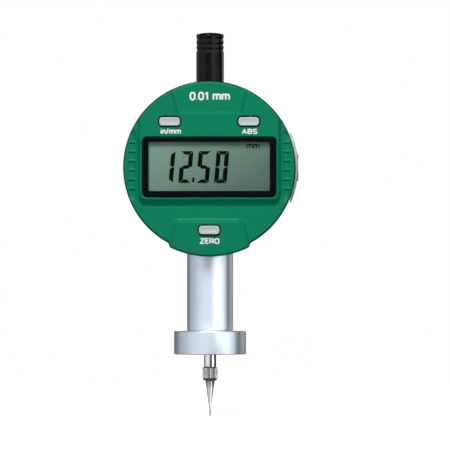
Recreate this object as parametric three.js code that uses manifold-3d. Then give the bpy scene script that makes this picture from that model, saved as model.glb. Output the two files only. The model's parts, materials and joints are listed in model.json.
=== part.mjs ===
// A round digital indicator with a depth-gauge base and a needle contact point.
//
// Millimetres, +Z up along the spindle. The origin is on the spindle's axis, in the plane of the
// base's measuring face. The display faces -Y, and +X is to the right for a person who reads it.
import * as THREE from "three";
import { mergeVertices } from "three/addons/utils/BufferGeometryUtils.js";
import Module from "manifold-3d";

const wasm = await Module();
wasm.setup();

// ---------------------------------------------------------------- driving dimensions

const GAP = 0.3; // between pieces that rest on each other
const RUNNING = 0.05; // radial clearance of the spindle in its bushes
const EASY = 0.15; // radial clearance of a screw, pin or stem in its hole
const MERGE = 1e-4;

// The round head: the display housing, whose own centre is the origin of its group.
const HEAD_Z = 65;
const COVER_RADIUS = 29.9;
const CASE_RADIUS = 29.7;
const WALL = 1.9;
const INNER_RADIUS = CASE_RADIUS - WALL;
const FLAT_TOP = 28.8; // height of the case's flat under the dust cap, from the head's centre
const FLAT_BOTTOM = -28.7; // height of the case's flat over the base's sleeve

// Depths, from the display side to the back.
const BLOCK_FACE = -13.8;
const ZERO_FACE = -13.4;
const LABEL_FLOOR = -13.2;
const LAND_FACE = -12.3;
const CEILING = -10.9;
const COVER_BACK = -8.4;
const CASE_FRONT = COVER_BACK + GAP;
const CASE_BACK = 8.0;
const PLATE_FRONT = CASE_BACK + GAP;
const PLATE_BACK = 10.4;
const BOARD_FRONT = -8.0;
const BOARD_BACK = -7.0;

// The raised block of the front cover, and the lands beside it.
const BLOCK_HALF_WIDTH = 23.85;
const BLOCK_BOTTOM = -12.4;
const BLOCK_CORNER = 2.7;
const SCOOP_X = 26.8;
const SCOOP_HALF_WIDTH = 1.6;
const SCOOP_RADIUS = 2.3;
const SCOOP_TOP = 11.5;
const RIB_COUNT = 6;
const RIB_TOP = 8.7;
const RIB_PITCH = 3.22;
const RIB_THICKNESS = 0.7;

// The display.
const WINDOW = { width: 46.6, height: 21.0, corner: 1.8 };
const BEZEL = { width: 46.3, height: 20.7, corner: 1.65 };
const SIGHT = { width: 42.05, height: 17.0, corner: 0.4, z: 0.25 };

// The buttons, by their centres on the head.
const BUTTON = { width: 7.1, height: 2.95, corner: 1.05, face: -14.4 };
const BUTTON_FLANGE = { width: 9.2, height: 4.8, corner: 1.2, front: -10.6, back: -9.9 };
const BUTTON_SLOT = 0.42;
const BUTTON_PLACES = {
  in_mm: [-13.7, 15.8],
  abs: [13.7, 15.8],
  zero: [0, -21.8],
};

// The spindle and what it carries.
const TRAVEL = 12.7;
const SPINDLE_RADIUS = 2.1;
const SPINDLE_TOP = 96.5;
const SPINDLE_BOTTOM = -4.5;
const POINT_TIP = -21.5;
const COLLAR_BOTTOM = -9.2;
const COLLAR_TOP = -4.8;
const COLLAR_RADIUS = 2.6;
const NEEDLE_RADIUS = 1.6;
const CARRIER = { halfWidth: 5, halfDepth: 3.4, bottom: 47, top: 64 };
const SPRING = { radius: 3.35, wire: 0.5, turns: 7, bottom: CARRIER.top + GAP, top: 86.6 };

// The stem and the depth base.
const STEM_RADIUS = 4.0;
const STEM_TOP = 44;
const STEM_BOTTOM = 12.8;
const BASE_RADIUS = 12.5;
const BASE_HEIGHT = 8;
const SLEEVE_RADIUS = 8;
const SLEEVE_TOP = HEAD_Z + FLAT_BOTTOM - GAP;
const GRUB_HEIGHTS = [19, 27];

// The dust cap over the spindle's upper end.
const CAP_RADIUS = 4.8;
const CAP_GROOVE_RADIUS = 4.5;
const CAP_BOTTOM = HEAD_Z + FLAT_TOP + GAP;
const CAP_TOP = 111.9;
const CAP_BORE = 3.6;
const CAP_GROOVES = [109.7, 107.75, 105.9];

// The battery, by the centre of its well on the head.
const CELL = { x: -14.6, z: -6.6, radius: 10, front: 4.4, back: 7.6 };

// Screws: places on the head, and sizes.
const BACK_SCREW_CIRCLE = 25;
const BACK_SCREW_ANGLES = [60, 120, 240, 300];
const COVER_SCREW_X = 20.9;
const COVER_SCREW_Z = 13.4;
const SCREW = { shank: 0.95, head: 1.85, slotWidth: 0.5, slotDepth: 0.45 };

// The data port on the right-hand side of the case, and the round pad that carries it.
const PORT = { height: 8.6, depth: 5.0, lidFace: 30.8 };
const PAD = { radius: 30.6, halfHeight: 11.8, halfDepth: 5.6 };

const FINE = 48; // sides of the big rounds
const ROUND = 24;
const SMALL = 12;

// ---------------------------------------------------------------- finishes

const FINISHES = {
  greenPlastic: [0x0b8260, 0.55, 0.0],
  greyPlastic: [0xb4bab9, 0.6, 0.0],
  buttonPlastic: [0xc3c8cb, 0.5, 0.0],
  blackPlastic: [0x151718, 0.4, 0.0],
  clearPlastic: [0xe8eeea, 0.05, 0.0],
  display: [0x849c8c, 0.35, 0.0],
  turnedSteel: [0xc4ccd4, 0.35, 0.9],
  hardSteel: [0xd8d8dc, 0.15, 1.0],
  screwSteel: [0xa8acb0, 0.3, 1.0],
  brass: [0xb99a52, 0.35, 1.0],
  aluminium: [0xb8bcc0, 0.45, 0.9],
  boardGreen: [0x1d5c37, 0.6, 0.0],
  chipBlack: [0x202124, 0.5, 0.0],
  rubber: [0x222222, 0.85, 0.0],
  nylon: [0xe6e2d4, 0.6, 0.0],
};

function finish(name) {
  const [color, roughness, metalness] = FINISHES[name];
  return new THREE.MeshStandardMaterial({ color, roughness, metalness });
}

// ---------------------------------------------------------------- solids

// Six times the volume that the triangles enclose: positive where they face out.
function signedVolume(positions, triangles) {
  const corner = [new THREE.Vector3(), new THREE.Vector3(), new THREE.Vector3()];
  let sum = 0;
  for (let i = 0; i < triangles.length; i += 3) {
    corner.forEach((point, k) => point.fromArray(positions, 3 * triangles[i + k]));
    sum += corner[0].dot(corner[1].cross(corner[2]));
  }
  return sum;
}

// A closed geometry as a solid that can be joined and cut, with its faces turned outwards.
function solid(geometry) {
  const bare = geometry.clone();
  bare.deleteAttribute("normal");
  bare.deleteAttribute("uv");
  const merged = mergeVertices(bare, MERGE);
  const vertProperties = merged.attributes.position.array;
  const triVerts = new Uint32Array(merged.index.array);
  if (signedVolume(vertProperties, triVerts) < 0) {
    for (let i = 0; i < triVerts.length; i += 3) {
      [triVerts[i + 1], triVerts[i + 2]] = [triVerts[i + 2], triVerts[i + 1]];
    }
  }
  return new wasm.Manifold(new wasm.Mesh({ numProp: 3, vertProperties, triVerts }));
}

function geometryOf(body) {
  const mesh = body.getMesh();
  const positions = new Float32Array(mesh.numVert * 3);
  for (let i = 0; i < mesh.numVert; i++) {
    const start = i * mesh.numProp;
    positions.set(mesh.vertProperties.subarray(start, start + 3), i * 3);
  }
  const geometry = new THREE.BufferGeometry();
  geometry.setAttribute("position", new THREE.BufferAttribute(positions, 3));
  geometry.setIndex(new THREE.BufferAttribute(mesh.triVerts, 1));
  geometry.computeVertexNormals();
  return geometry;
}

function joined(bodies) {
  return bodies.reduce((sum, body) => sum.add(body));
}

// A box, given by its limits along X, Y and Z.
function box(x0, x1, y0, y1, z0, z1) {
  const geometry = new THREE.BoxGeometry(x1 - x0, y1 - y0, z1 - z0);
  geometry.translate((x0 + x1) / 2, (y0 + y1) / 2, (z0 + z1) / 2);
  return solid(geometry);
}

// A cylinder along Y between two depths, about the point (x, z).
function discY(radius, x, z, y0, y1, sides = ROUND) {
  const geometry = new THREE.CylinderGeometry(radius, radius, y1 - y0, sides);
  geometry.translate(x, (y0 + y1) / 2, z);
  return solid(geometry);
}

// A cylinder along Z about the point (x, y).
function discZ(radius, x, y, z0, z1, sides = ROUND) {
  const geometry = new THREE.CylinderGeometry(radius, radius, z1 - z0, sides);
  geometry.rotateX(Math.PI / 2);
  geometry.translate(x, y, (z0 + z1) / 2);
  return solid(geometry);
}

// A cylinder along X about the point (y, z).
function discX(radius, y, z, x0, x1, sides = SMALL) {
  const geometry = new THREE.CylinderGeometry(radius, radius, x1 - x0, sides);
  geometry.rotateZ(Math.PI / 2);
  geometry.translate((x0 + x1) / 2, y, z);
  return solid(geometry);
}

// A flat outline in X and Z, made solid between two depths.
function slab(outline, y0, y1, curveSegments = 5) {
  const shape = new THREE.ExtrudeGeometry(outline, {
    depth: y1 - y0,
    bevelEnabled: false,
    curveSegments,
  });
  shape.rotateX(Math.PI / 2);
  shape.translate(0, y1, 0);
  return solid(shape);
}

// A profile of [radius, height] pairs turned about the spindle's axis.
function turned(profile, sides = ROUND) {
  const points = profile.map(([radius, height]) => new THREE.Vector2(radius, height));
  const geometry = new THREE.LatheGeometry(points, sides);
  geometry.rotateX(Math.PI / 2);
  return solid(geometry);
}

// A profile that closes on itself, such as a tube's.
function ring(profile, sides = ROUND) {
  return turned([...profile, profile[0]], sides);
}

function roundedRectangle(width, height, corner, x = 0, z = 0) {
  const left = x - width / 2;
  const right = x + width / 2;
  const low = z - height / 2;
  const high = z + height / 2;
  const outline = new THREE.Shape();
  outline.moveTo(left + corner, low);
  outline.lineTo(right - corner, low);
  outline.absarc(right - corner, low + corner, corner, -Math.PI / 2, 0);
  outline.lineTo(right, high - corner);
  outline.absarc(right - corner, high - corner, corner, 0, Math.PI / 2);
  outline.lineTo(left + corner, high);
  outline.absarc(left + corner, high - corner, corner, Math.PI / 2, Math.PI);
  outline.lineTo(left, low + corner);
  outline.absarc(left + corner, low + corner, corner, Math.PI, 1.5 * Math.PI);
  return outline;
}

function polygon(points) {
  return new THREE.Shape(points.map(([x, z]) => new THREE.Vector2(x, z)));
}

// Points on a circle about the head's centre, at angles in degrees from +X.
function onCircle(radius, degrees) {
  const angle = THREE.MathUtils.degToRad(degrees);
  return [radius * Math.cos(angle), radius * Math.sin(angle)];
}

const BACK_SCREW_PLACES = BACK_SCREW_ANGLES.map((degrees) => onCircle(BACK_SCREW_CIRCLE, degrees));
const COVER_SCREW_PLACES = [
  [COVER_SCREW_X, COVER_SCREW_Z],
  [-COVER_SCREW_X, COVER_SCREW_Z],
  [COVER_SCREW_X, -COVER_SCREW_Z],
  [-COVER_SCREW_X, -COVER_SCREW_Z],
];

// One round boss or hole along Y at each of several places on the head.
function discsY(radius, places, y0, y1) {
  return places.map(([x, z]) => discY(radius, x, z, y0, y1, SMALL));
}

// ---------------------------------------------------------------- the object as a scene graph

const indicator = new THREE.Group();
const head = new THREE.Group();
head.position.set(0, 0, HEAD_Z);
indicator.add(head);

function add(group, name, finishName, body) {
  const mesh = new THREE.Mesh(geometryOf(body), finish(finishName));
  mesh.name = name;
  group.add(mesh);
  return mesh;
}

// ---------------------------------------------------------------- front cover

// The raised block, which reaches the rim at its top and ends in two round corners below.
function coverBlock() {
  const cornerX = BLOCK_HALF_WIDTH - BLOCK_CORNER;
  const cornerZ = BLOCK_BOTTOM + BLOCK_CORNER;
  const outline = new THREE.Shape();
  outline.moveTo(-BLOCK_HALF_WIDTH, COVER_RADIUS);
  outline.lineTo(-BLOCK_HALF_WIDTH, cornerZ);
  outline.absarc(-cornerX, cornerZ, BLOCK_CORNER, Math.PI, 1.5 * Math.PI);
  outline.lineTo(cornerX, BLOCK_BOTTOM);
  outline.absarc(cornerX, cornerZ, BLOCK_CORNER, -Math.PI / 2, 0);
  outline.lineTo(BLOCK_HALF_WIDTH, COVER_RADIUS);
  const rimDisc = discY(COVER_RADIUS - 0.5, 0, 0, BLOCK_FACE, LAND_FACE + 0.5, FINE);
  return slab(outline, BLOCK_FACE, LAND_FACE + 0.5).intersect(rimDisc);
}

// The panel round the ZERO button: it widens downwards and stands a little past the round rim.
function zeroPanel() {
  const outline = polygon([
    [-11.2, -18.6],
    [-14.6, -31.5],
    [14.6, -31.5],
    [11.2, -18.6],
  ]);
  const limit = discY(COVER_RADIUS + 1.1, 0, 0, ZERO_FACE, -9.4, FINE);
  return slab(outline, ZERO_FACE, -9.4).intersect(limit);
}

// The shallow tapered recess above the display, open to the rim.
function labelRecess() {
  return slab(
    polygon([
      [-11.5, 18.9],
      [11.5, 18.9],
      [14.2, 30],
      [-14.2, 30],
    ]),
    BLOCK_FACE - 1,
    LABEL_FLOOR,
  );
}

// One side's vertical finger scoop, a shallow round channel.
function scoop(side) {
  const y = LAND_FACE - Math.sqrt(SCOOP_RADIUS ** 2 - SCOOP_HALF_WIDTH ** 2);
  return discZ(SCOOP_RADIUS, side * SCOOP_X, y, -SCOOP_TOP, SCOOP_TOP, SMALL);
}

function scoopRibs(side) {
  const bars = [];
  for (let i = 0; i < RIB_COUNT; i++) {
    const z = RIB_TOP - i * RIB_PITCH;
    const x = [side * (SCOOP_X - 2.2), side * (SCOOP_X + 2.2)].sort((a, b) => a - b);
    bars.push(box(x[0], x[1], LAND_FACE, LAND_FACE + 0.9, z - RIB_THICKNESS / 2, z + RIB_THICKNESS / 2));
  }
  return joined(bars).intersect(discY(COVER_RADIUS - 0.3, 0, 0, LAND_FACE, LAND_FACE + 1, FINE));
}

function buttonOpening([x, z]) {
  const outline = roundedRectangle(
    BUTTON.width + 2 * BUTTON_SLOT,
    BUTTON.height + 2 * BUTTON_SLOT,
    BUTTON.corner + BUTTON_SLOT,
    x,
    z,
  );
  return slab(outline, BLOCK_FACE - 1, CEILING + 1, 4);
}

function frontCover() {
  const shell = discY(COVER_RADIUS, 0, 0, LAND_FACE, COVER_BACK, FINE);
  const cavity = discY(INNER_RADIUS - 0.2, 0, 0, CEILING, COVER_BACK + 1, FINE);
  const bosses = discsY(2.2, COVER_SCREW_PLACES, CEILING - 0.5, BOARD_FRONT - GAP);
  const screwHoles = discsY(SCREW.shank + EASY, COVER_SCREW_PLACES, CEILING, COVER_BACK + 1);
  const scoops = joined([scoop(-1), scoop(1)]);
  const ribs = joined([scoopRibs(-1), scoopRibs(1)]);
  const openings = Object.values(BUTTON_PLACES).map(buttonOpening);
  const windowOutline = roundedRectangle(WINDOW.width, WINDOW.height, WINDOW.corner);
  const window = slab(windowOutline, BLOCK_FACE - 1, CEILING + 1, 4);
  const outside = shell
    .subtract(scoops)
    .add(ribs)
    .add(coverBlock())
    .add(zeroPanel())
    .subtract(labelRecess());
  return outside
    .subtract(cavity)
    .add(joined(bosses))
    .subtract(joined([...openings, ...screwHoles, window]));
}

// ---------------------------------------------------------------- rear case and back plate

// A bar from the case's wall to one foot of the guide rail.
function railBridge(z0, z1) {
  return box(10, 24, -4.2, -1.1, z0, z1).intersect(discY(INNER_RADIUS + 0.5, 0, 0, -4.2, -1.1, FINE));
}

// The round well that holds the cell, tied to the case's wall.
function batteryWell() {
  const wall = discY(CELL.radius + 1.4, CELL.x, CELL.z, 3.8, CASE_BACK);
  const web = box(-26.8, -22, 3.8, CASE_BACK, CELL.z - 5, CELL.z + 1);
  return wall.add(web).subtract(discY(CELL.radius + 0.4, CELL.x, CELL.z, 3, CASE_BACK + 1));
}

// The pad under the data port, a little proud of the round case and concentric with it.
function portPad() {
  const { radius, halfHeight, halfDepth } = PAD;
  const reach = box(26, 31, -halfDepth, halfDepth, -halfHeight, halfHeight);
  return discY(radius, 0, 0, -halfDepth, halfDepth, FINE).intersect(reach);
}

function rearCase() {
  const outside = discY(CASE_RADIUS, 0, 0, CASE_FRONT, CASE_BACK, FINE)
    .add(portPad())
    .intersect(box(-31, 31, CASE_FRONT, CASE_BACK, FLAT_BOTTOM, FLAT_TOP));
  const hollow = discY(INNER_RADIUS, 0, 0, CASE_FRONT - 1, CASE_BACK + 1, FINE);
  const stemBoss = discZ(6.5, 0, 0, FLAT_BOTTOM, -21.5);
  const bushBoss = discZ(5.6, 0, 0, 23, FLAT_TOP);
  const coverLugs = discsY(3.4, COVER_SCREW_PLACES, BOARD_BACK + GAP, -4.7);
  const backLugs = discsY(3.0, BACK_SCREW_PLACES, 2.6, CASE_BACK);
  const lugLimit = discY(INNER_RADIUS + 0.5, 0, 0, CASE_FRONT, CASE_BACK, FINE);
  const socketHalfDepth = PORT.depth / 2 + GAP;
  const socketHalfHeight = PORT.height / 2 + GAP;
  const holes = [
    discZ(STEM_RADIUS + EASY, 0, 0, FLAT_BOTTOM - 1, -20),
    discZ(3.5 + EASY, 0, 0, 22, FLAT_TOP + 1),
    ...discsY(SCREW.shank + EASY, COVER_SCREW_PLACES, CASE_FRONT, -4),
    ...discsY(SCREW.shank + EASY, BACK_SCREW_PLACES, 1, CASE_BACK + 1),
    discY(0.85 + EASY, 12, -18, -5, 0, SMALL),
    discY(0.85 + EASY, 12, 18, -5, 0, SMALL),
    box(26, 31, -socketHalfDepth, socketHalfDepth, -socketHalfHeight, socketHalfHeight),
    box(29, 31, -3.3, 3.3, -5.1, 5.1),
    box(-17.6, -11.6, 3, CASE_BACK + 1, 3.2, 5.4),
  ];
  return outside
    .subtract(hollow)
    .add(joined([stemBoss, bushBoss, batteryWell(), railBridge(-20, -16), railBridge(16, 20)]))
    .add(joined([...coverLugs, ...backLugs]).intersect(lugLimit))
    .subtract(joined(holes));
}

function backPlate() {
  const plate = discY(CASE_RADIUS - 0.5, 0, 0, PLATE_FRONT, PLATE_BACK, FINE)
    .intersect(box(-31, 31, PLATE_FRONT, PLATE_BACK, FLAT_BOTTOM, FLAT_TOP));
  const holes = [
    discY(CELL.radius, CELL.x, CELL.z, PLATE_FRONT - 1, PLATE_BACK + 1),
    discY(CELL.radius + 1, CELL.x, CELL.z, 9.2, PLATE_BACK + 1),
    ...discsY(SCREW.shank + EASY, BACK_SCREW_PLACES, PLATE_FRONT - 1, PLATE_BACK),
    ...discsY(SCREW.head + EASY, BACK_SCREW_PLACES, 9.3, PLATE_BACK + 1),
  ];
  return plate.subtract(joined(holes));
}

// A thin scale on the carrier's face, which the board reads.
function encoderScale() {
  return box(-3.5, 3.5, -4.2, -CARRIER.halfDepth - GAP, CARRIER.bottom, CARRIER.top - 0.5);
}

// ---------------------------------------------------------------- screws

// A slotted screw along Y: its shank runs from depth tip to depth seat, and its head lies between
// seat and top.
function slottedScrew(tip, seat, top) {
  const low = Math.min(seat, top);
  const high = Math.max(seat, top);
  const shank = discY(SCREW.shank, 0, 0, Math.min(tip, seat), Math.max(tip, seat) + 0.01, 12);
  const slotStart = top > seat ? top - SCREW.slotDepth : top - 1;
  const slotEnd = slotStart + 1 + SCREW.slotDepth;
  const slot = box(-3, 3, slotStart, slotEnd, -SCREW.slotWidth / 2, SCREW.slotWidth / 2);
  return shank.add(discY(SCREW.head, 0, 0, low, high, SMALL)).subtract(slot);
}

function addScrews(prefix, places, tip, seat, top) {
  places.forEach(([x, z], i) => {
    const mesh = add(head, `${prefix}_${i + 1}`, "screwSteel", slottedScrew(tip, seat, top));
    mesh.position.set(x, 0, z);
  });
}

// ---------------------------------------------------------------- display

// The outline of the display's opening, or one larger than it all round.
function sightOutline(margin = 0) {
  const width = SIGHT.width + 2 * margin;
  return roundedRectangle(width, SIGHT.height + 2 * margin, SIGHT.corner, 0, SIGHT.z);
}

function displayBezel() {
  const frame = slab(roundedRectangle(BEZEL.width, BEZEL.height, BEZEL.corner), -14.0, -12.7, 4);
  const sight = slab(sightOutline(), -15, -12, 4);
  const rebate = slab(sightOutline(0.7), -13.65, -12, 4);
  return frame.subtract(sight).subtract(rebate);
}

function windowLens() {
  return slab(sightOutline(0.4), -13.35, -12.85, 4);
}

function lcdPanel() {
  return box(-22.4, 22.4, -12.4, -10.6, -10, 10);
}

function zebraStrip(z) {
  return box(-20, 20, -10.3, BOARD_FRONT - GAP, z - 0.8, z + 0.8);
}

// ---------------------------------------------------------------- buttons and their switches

// A key cap with a flange behind the cover's wall that keeps it in.
function keyCap() {
  const capOutline = roundedRectangle(BUTTON.width, BUTTON.height, BUTTON.corner);
  const { width, height, corner, front, back } = BUTTON_FLANGE;
  const cap = slab(capOutline, BUTTON.face, back, 4);
  return cap.add(slab(roundedRectangle(width, height, corner), front, back, 4));
}

function keySwitch() {
  return box(-3, 3, -9.2, BOARD_FRONT - GAP, -1.7, 1.7);
}

// ---------------------------------------------------------------- electronics

function mainBoard() {
  const blank = discY(INNER_RADIUS - 0.5, 0, 0, BOARD_FRONT, BOARD_BACK, FINE)
    .intersect(box(-25, 25, BOARD_FRONT, BOARD_BACK, -24.6, 20));
  const holes = discsY(SCREW.shank + EASY, COVER_SCREW_PLACES, -9, -6);
  return blank.subtract(joined(holes));
}

// A thin strip under the cell, with a leg that reaches the main board.
function batteryContactMinus() {
  const strip = box(-24.4, -8, 3.5, 4.0, CELL.z - 2, CELL.z + 2);
  const leg = box(-24.4, -23.8, BOARD_BACK + GAP, 4.0, CELL.z - 2, CELL.z + 2);
  return strip.add(leg);
}

// A strip that touches the cell's rim through the notch in its well.
function batteryContactPlus() {
  const rim = CELL.z + CELL.radius;
  return box(-17, -12.2, BOARD_BACK + GAP, CELL.back, rim + GAP, rim + 0.9);
}

// ---------------------------------------------------------------- battery cover

// A disc with a coin slot, whose plug carries the seal.
function batteryCover() {
  const flange = discY(CELL.radius + 0.8, 0, 0, 9.5, PLATE_BACK - 0.1);
  const plug = discY(8.9, 0, 0, CELL.back + GAP, 9.6);
  const slot = box(-6.5, 6.5, 9.9, PLATE_BACK + 1, -0.9, 0.9);
  return flange.add(plug).subtract(slot);
}

function batterySeal() {
  const outer = discY(CELL.radius - 0.15, 0, 0, 8.5, 9.2);
  return outer.subtract(discY(9.1, 0, 0, 8, 10));
}

// ---------------------------------------------------------------- data port

function dataPortSocket() {
  const block = box(22.6, 28.7, -PORT.depth / 2, PORT.depth / 2, -PORT.height / 2, PORT.height / 2);
  return block.subtract(box(25.5, 29, -1.9, 1.9, -3.7, 3.7));
}

function dataPortCover() {
  const lid = box(29.3, PORT.lidFace, -3, 3, -4.8, 4.8);
  return lid.add(box(26.6, 29.4, -1.6, 1.6, -3.4, 3.4));
}

// ---------------------------------------------------------------- spindle group

// The spindle is a plain ground rod with a blind threaded hole for the contact point.
function spindle() {
  return turned(
    [
      [0, 1.6],
      [1.35, 1.6],
      [1.35, SPINDLE_BOTTOM],
      [SPINDLE_RADIUS - 0.2, SPINDLE_BOTTOM],
      [SPINDLE_RADIUS, SPINDLE_BOTTOM + 0.2],
      [SPINDLE_RADIUS, SPINDLE_TOP - 0.3],
      [SPINDLE_RADIUS - 0.3, SPINDLE_TOP],
      [0, SPINDLE_TOP],
    ],
    ROUND,
  );
}

function contactPoint() {
  return turned(
    [
      [0, POINT_TIP],
      [0.1, POINT_TIP + 0.15],
      [NEEDLE_RADIUS, COLLAR_BOTTOM],
      [COLLAR_RADIUS - 0.3, COLLAR_BOTTOM],
      [COLLAR_RADIUS, COLLAR_BOTTOM + 0.5],
      [COLLAR_RADIUS, COLLAR_TOP - 0.15],
      [COLLAR_RADIUS - 0.15, COLLAR_TOP],
      [1.2, COLLAR_TOP],
      [1.2, 1.0],
      [0, 1.0],
    ],
    ROUND,
  );
}

function scaleCarrier() {
  const { halfWidth, halfDepth, bottom, top } = CARRIER;
  return box(-halfWidth, halfWidth, -halfDepth, halfDepth, bottom, top)
    .subtract(discZ(SPINDLE_RADIUS + EASY, 0, 0, bottom - 1, top + 1))
    .subtract(discX(1 + EASY, 0, 61, 0, halfWidth + 1))
    .subtract(discY(1 + EASY, 0, 51, 0, halfDepth + 1, SMALL));
}

// A headless screw along Y that locks the carrier to the spindle.
function clampScrew() {
  return discY(1, 0, 51, SPINDLE_RADIUS + GAP, 4.2, SMALL).subtract(box(-2, 2, 3.8, 5, 50.8, 51.2));
}

function guidePin() {
  return discX(1, 0, 61, SPINDLE_RADIUS + GAP, 9.6);
}

// ---------------------------------------------------------------- guides in the case

// A flat bar with the slot that keeps the carrier from turning, and two feet for its screws.
function guideRail() {
  return box(7, 9.8, -2.2, 2.2, -20, 20)
    .add(box(9.5, 14, -0.8, 0.8, -20, -16))
    .add(box(9.5, 14, -0.8, 0.8, 16, 20))
    .subtract(box(6, 11, -1 - EASY, 1 + EASY, 61 - HEAD_Z - 1.4, 61 - HEAD_Z + TRAVEL + 1.4))
    .subtract(discY(0.85 + EASY, 12, -18, -2, 2, SMALL))
    .subtract(discY(0.85 + EASY, 12, 18, -2, 2, SMALL));
}

function railScrew() {
  return discY(0.85, 0, 0, -3.9, 1.15, 12)
    .add(discY(1.6, 0, 0, 1.1, 2.1, SMALL))
    .subtract(box(-2, 2, 1.7, 3, -0.2, 0.2));
}

// A plain bush between two heights, in a tube of the given inner radius.
function bush(outer, bottom, top) {
  return ring([
    [SPINDLE_RADIUS + RUNNING, bottom],
    [outer, bottom],
    [outer, top],
    [SPINDLE_RADIUS + RUNNING, top],
  ]);
}

// The upper bush has a flange below the case and a stub above it that the dust cap screws on.
function upperBush() {
  const flangeBottom = SPRING.top + GAP;
  return ring([
    [SPINDLE_RADIUS + RUNNING, flangeBottom],
    [4.8, flangeBottom],
    [4.8, flangeBottom + 0.8],
    [3.5, flangeBottom + 0.8],
    [3.5, 99],
    [SPINDLE_RADIUS + RUNNING, 99],
  ]);
}

function returnSpring() {
  const { radius, wire, turns, bottom, top } = SPRING;
  class Helix extends THREE.Curve {
    getPoint(t, target = new THREE.Vector3()) {
      const angle = 2 * Math.PI * turns * t;
      const z = bottom + wire / 2 + t * (top - bottom - wire);
      return target.set(radius * Math.cos(angle), radius * Math.sin(angle), z);
    }
  }
  const section = new THREE.Shape();
  section.absarc(0, 0, wire / 2, 0, 2 * Math.PI);
  const wound = new THREE.ExtrudeGeometry(section, {
    steps: turns * 9,
    curveSegments: 3,
    extrudePath: new Helix(),
  });
  return solid(wound);
}

function travelBumper() {
  return ring([
    [SPINDLE_RADIUS + EASY, STEM_TOP + GAP],
    [3.7, STEM_TOP + GAP],
    [3.7, CARRIER.bottom - GAP],
    [SPINDLE_RADIUS + EASY, CARRIER.bottom - GAP],
  ]);
}

function stem() {
  return ring([
    [2.8, STEM_BOTTOM],
    [STEM_RADIUS - 0.3, STEM_BOTTOM],
    [STEM_RADIUS, STEM_BOTTOM + 0.3],
    [STEM_RADIUS, STEM_TOP],
    [2.8, STEM_TOP],
  ]);
}

// ---------------------------------------------------------------- dust cap

function dustCap() {
  const profile = [
    [0, CAP_TOP],
    [CAP_RADIUS - 1.2, CAP_TOP - 0.1],
    [CAP_RADIUS - 0.3, CAP_TOP - 0.45],
  ];
  for (const height of CAP_GROOVES) {
    profile.push([CAP_RADIUS, height + 0.6]);
    profile.push([CAP_GROOVE_RADIUS, height]);
    profile.push([CAP_RADIUS, height - 0.6]);
  }
  profile.push([CAP_RADIUS, CAP_BOTTOM]);
  profile.push([CAP_BORE, CAP_BOTTOM]);
  profile.push([CAP_BORE, 110.4]);
  profile.push([0, 110.4]);
  return turned(profile, ROUND);
}

// ---------------------------------------------------------------- depth base

function depthBase() {
  const body = ring(
    [
      [3.5, 0],
      [BASE_RADIUS - 0.3, 0],
      [BASE_RADIUS, 0.3],
      [BASE_RADIUS, BASE_HEIGHT - 0.4],
      [BASE_RADIUS - 0.4, BASE_HEIGHT],
      [SLEEVE_RADIUS, BASE_HEIGHT],
      [SLEEVE_RADIUS, SLEEVE_TOP - 0.3],
      [SLEEVE_RADIUS - 0.3, SLEEVE_TOP],
      [STEM_RADIUS + EASY, SLEEVE_TOP],
      [STEM_RADIUS + EASY, STEM_BOTTOM - GAP],
      [3.5, STEM_BOTTOM - GAP],
    ],
    40,
  );
  const holes = GRUB_HEIGHTS.map((z) => discY(1.4 + EASY, 0, z, 3, SLEEVE_RADIUS + 1, SMALL));
  return body.subtract(joined(holes));
}

// A headless screw along Y, at height 0, that clamps the base on the stem.
function grubScrew() {
  return discY(1.4, 0, 0, STEM_RADIUS + GAP, SLEEVE_RADIUS - 0.4, SMALL)
    .subtract(box(-2, 2, 6.9, 9, -0.25, 0.25));
}

// ---------------------------------------------------------------- assembly

add(head, "front_cover", "greenPlastic", frontCover());
add(head, "rear_case", "greyPlastic", rearCase());
add(head, "back_plate", "greyPlastic", backPlate());
addScrews("cover_screw", COVER_SCREW_PLACES, CEILING + GAP, -4.4, -3.3);
addScrews("back_screw", BACK_SCREW_PLACES, 3.2, 9.55, PLATE_BACK - 0.1);

add(head, "display_bezel", "blackPlastic", displayBezel());
add(head, "window_lens", "clearPlastic", windowLens());
add(head, "lcd_panel", "display", lcdPanel());
add(head, "zebra_strip_upper", "rubber", zebraStrip(8.8));
add(head, "zebra_strip_lower", "rubber", zebraStrip(-8.8));

for (const [name, [x, z]] of Object.entries(BUTTON_PLACES)) {
  add(head, `${name}_button`, "buttonPlastic", keyCap()).position.set(x, 0, z);
  add(head, `${name}_switch`, "screwSteel", keySwitch()).position.set(x, 0, z);
}

add(head, "main_board", "boardGreen", mainBoard());
add(head, "controller_chip", "chipBlack", box(-16, -9, BOARD_BACK + GAP, -5.7, 6, 13));
add(head, "board_connector", "chipBlack", box(-6, 6, BOARD_BACK + GAP, -5.7, 5.5, 8));
add(head, "reader_board", "boardGreen", box(-8, 8, -5.4, -4.6, -9, 9));
add(head, "reader_chip", "chipBlack", box(-2.5, 2.5, BOARD_BACK + GAP, -5.7, -3, 3));

add(head, "battery_cell", "hardSteel", discY(CELL.radius, CELL.x, CELL.z, CELL.front, CELL.back));
add(head, "battery_contact_minus", "brass", batteryContactMinus());
add(head, "battery_contact_plus", "brass", batteryContactPlus());
add(head, "battery_cover", "greyPlastic", batteryCover()).position.set(CELL.x, 0, CELL.z);
add(head, "battery_seal", "rubber", batterySeal()).position.set(CELL.x, 0, CELL.z);

add(head, "data_port_socket", "blackPlastic", dataPortSocket());
add(head, "data_port_cover", "rubber", dataPortCover());

add(head, "guide_rail", "turnedSteel", guideRail());
[-18, 18].forEach((z, i) => {
  add(head, `rail_screw_${i + 1}`, "screwSteel", railScrew()).position.set(12, 0, z);
});

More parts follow.
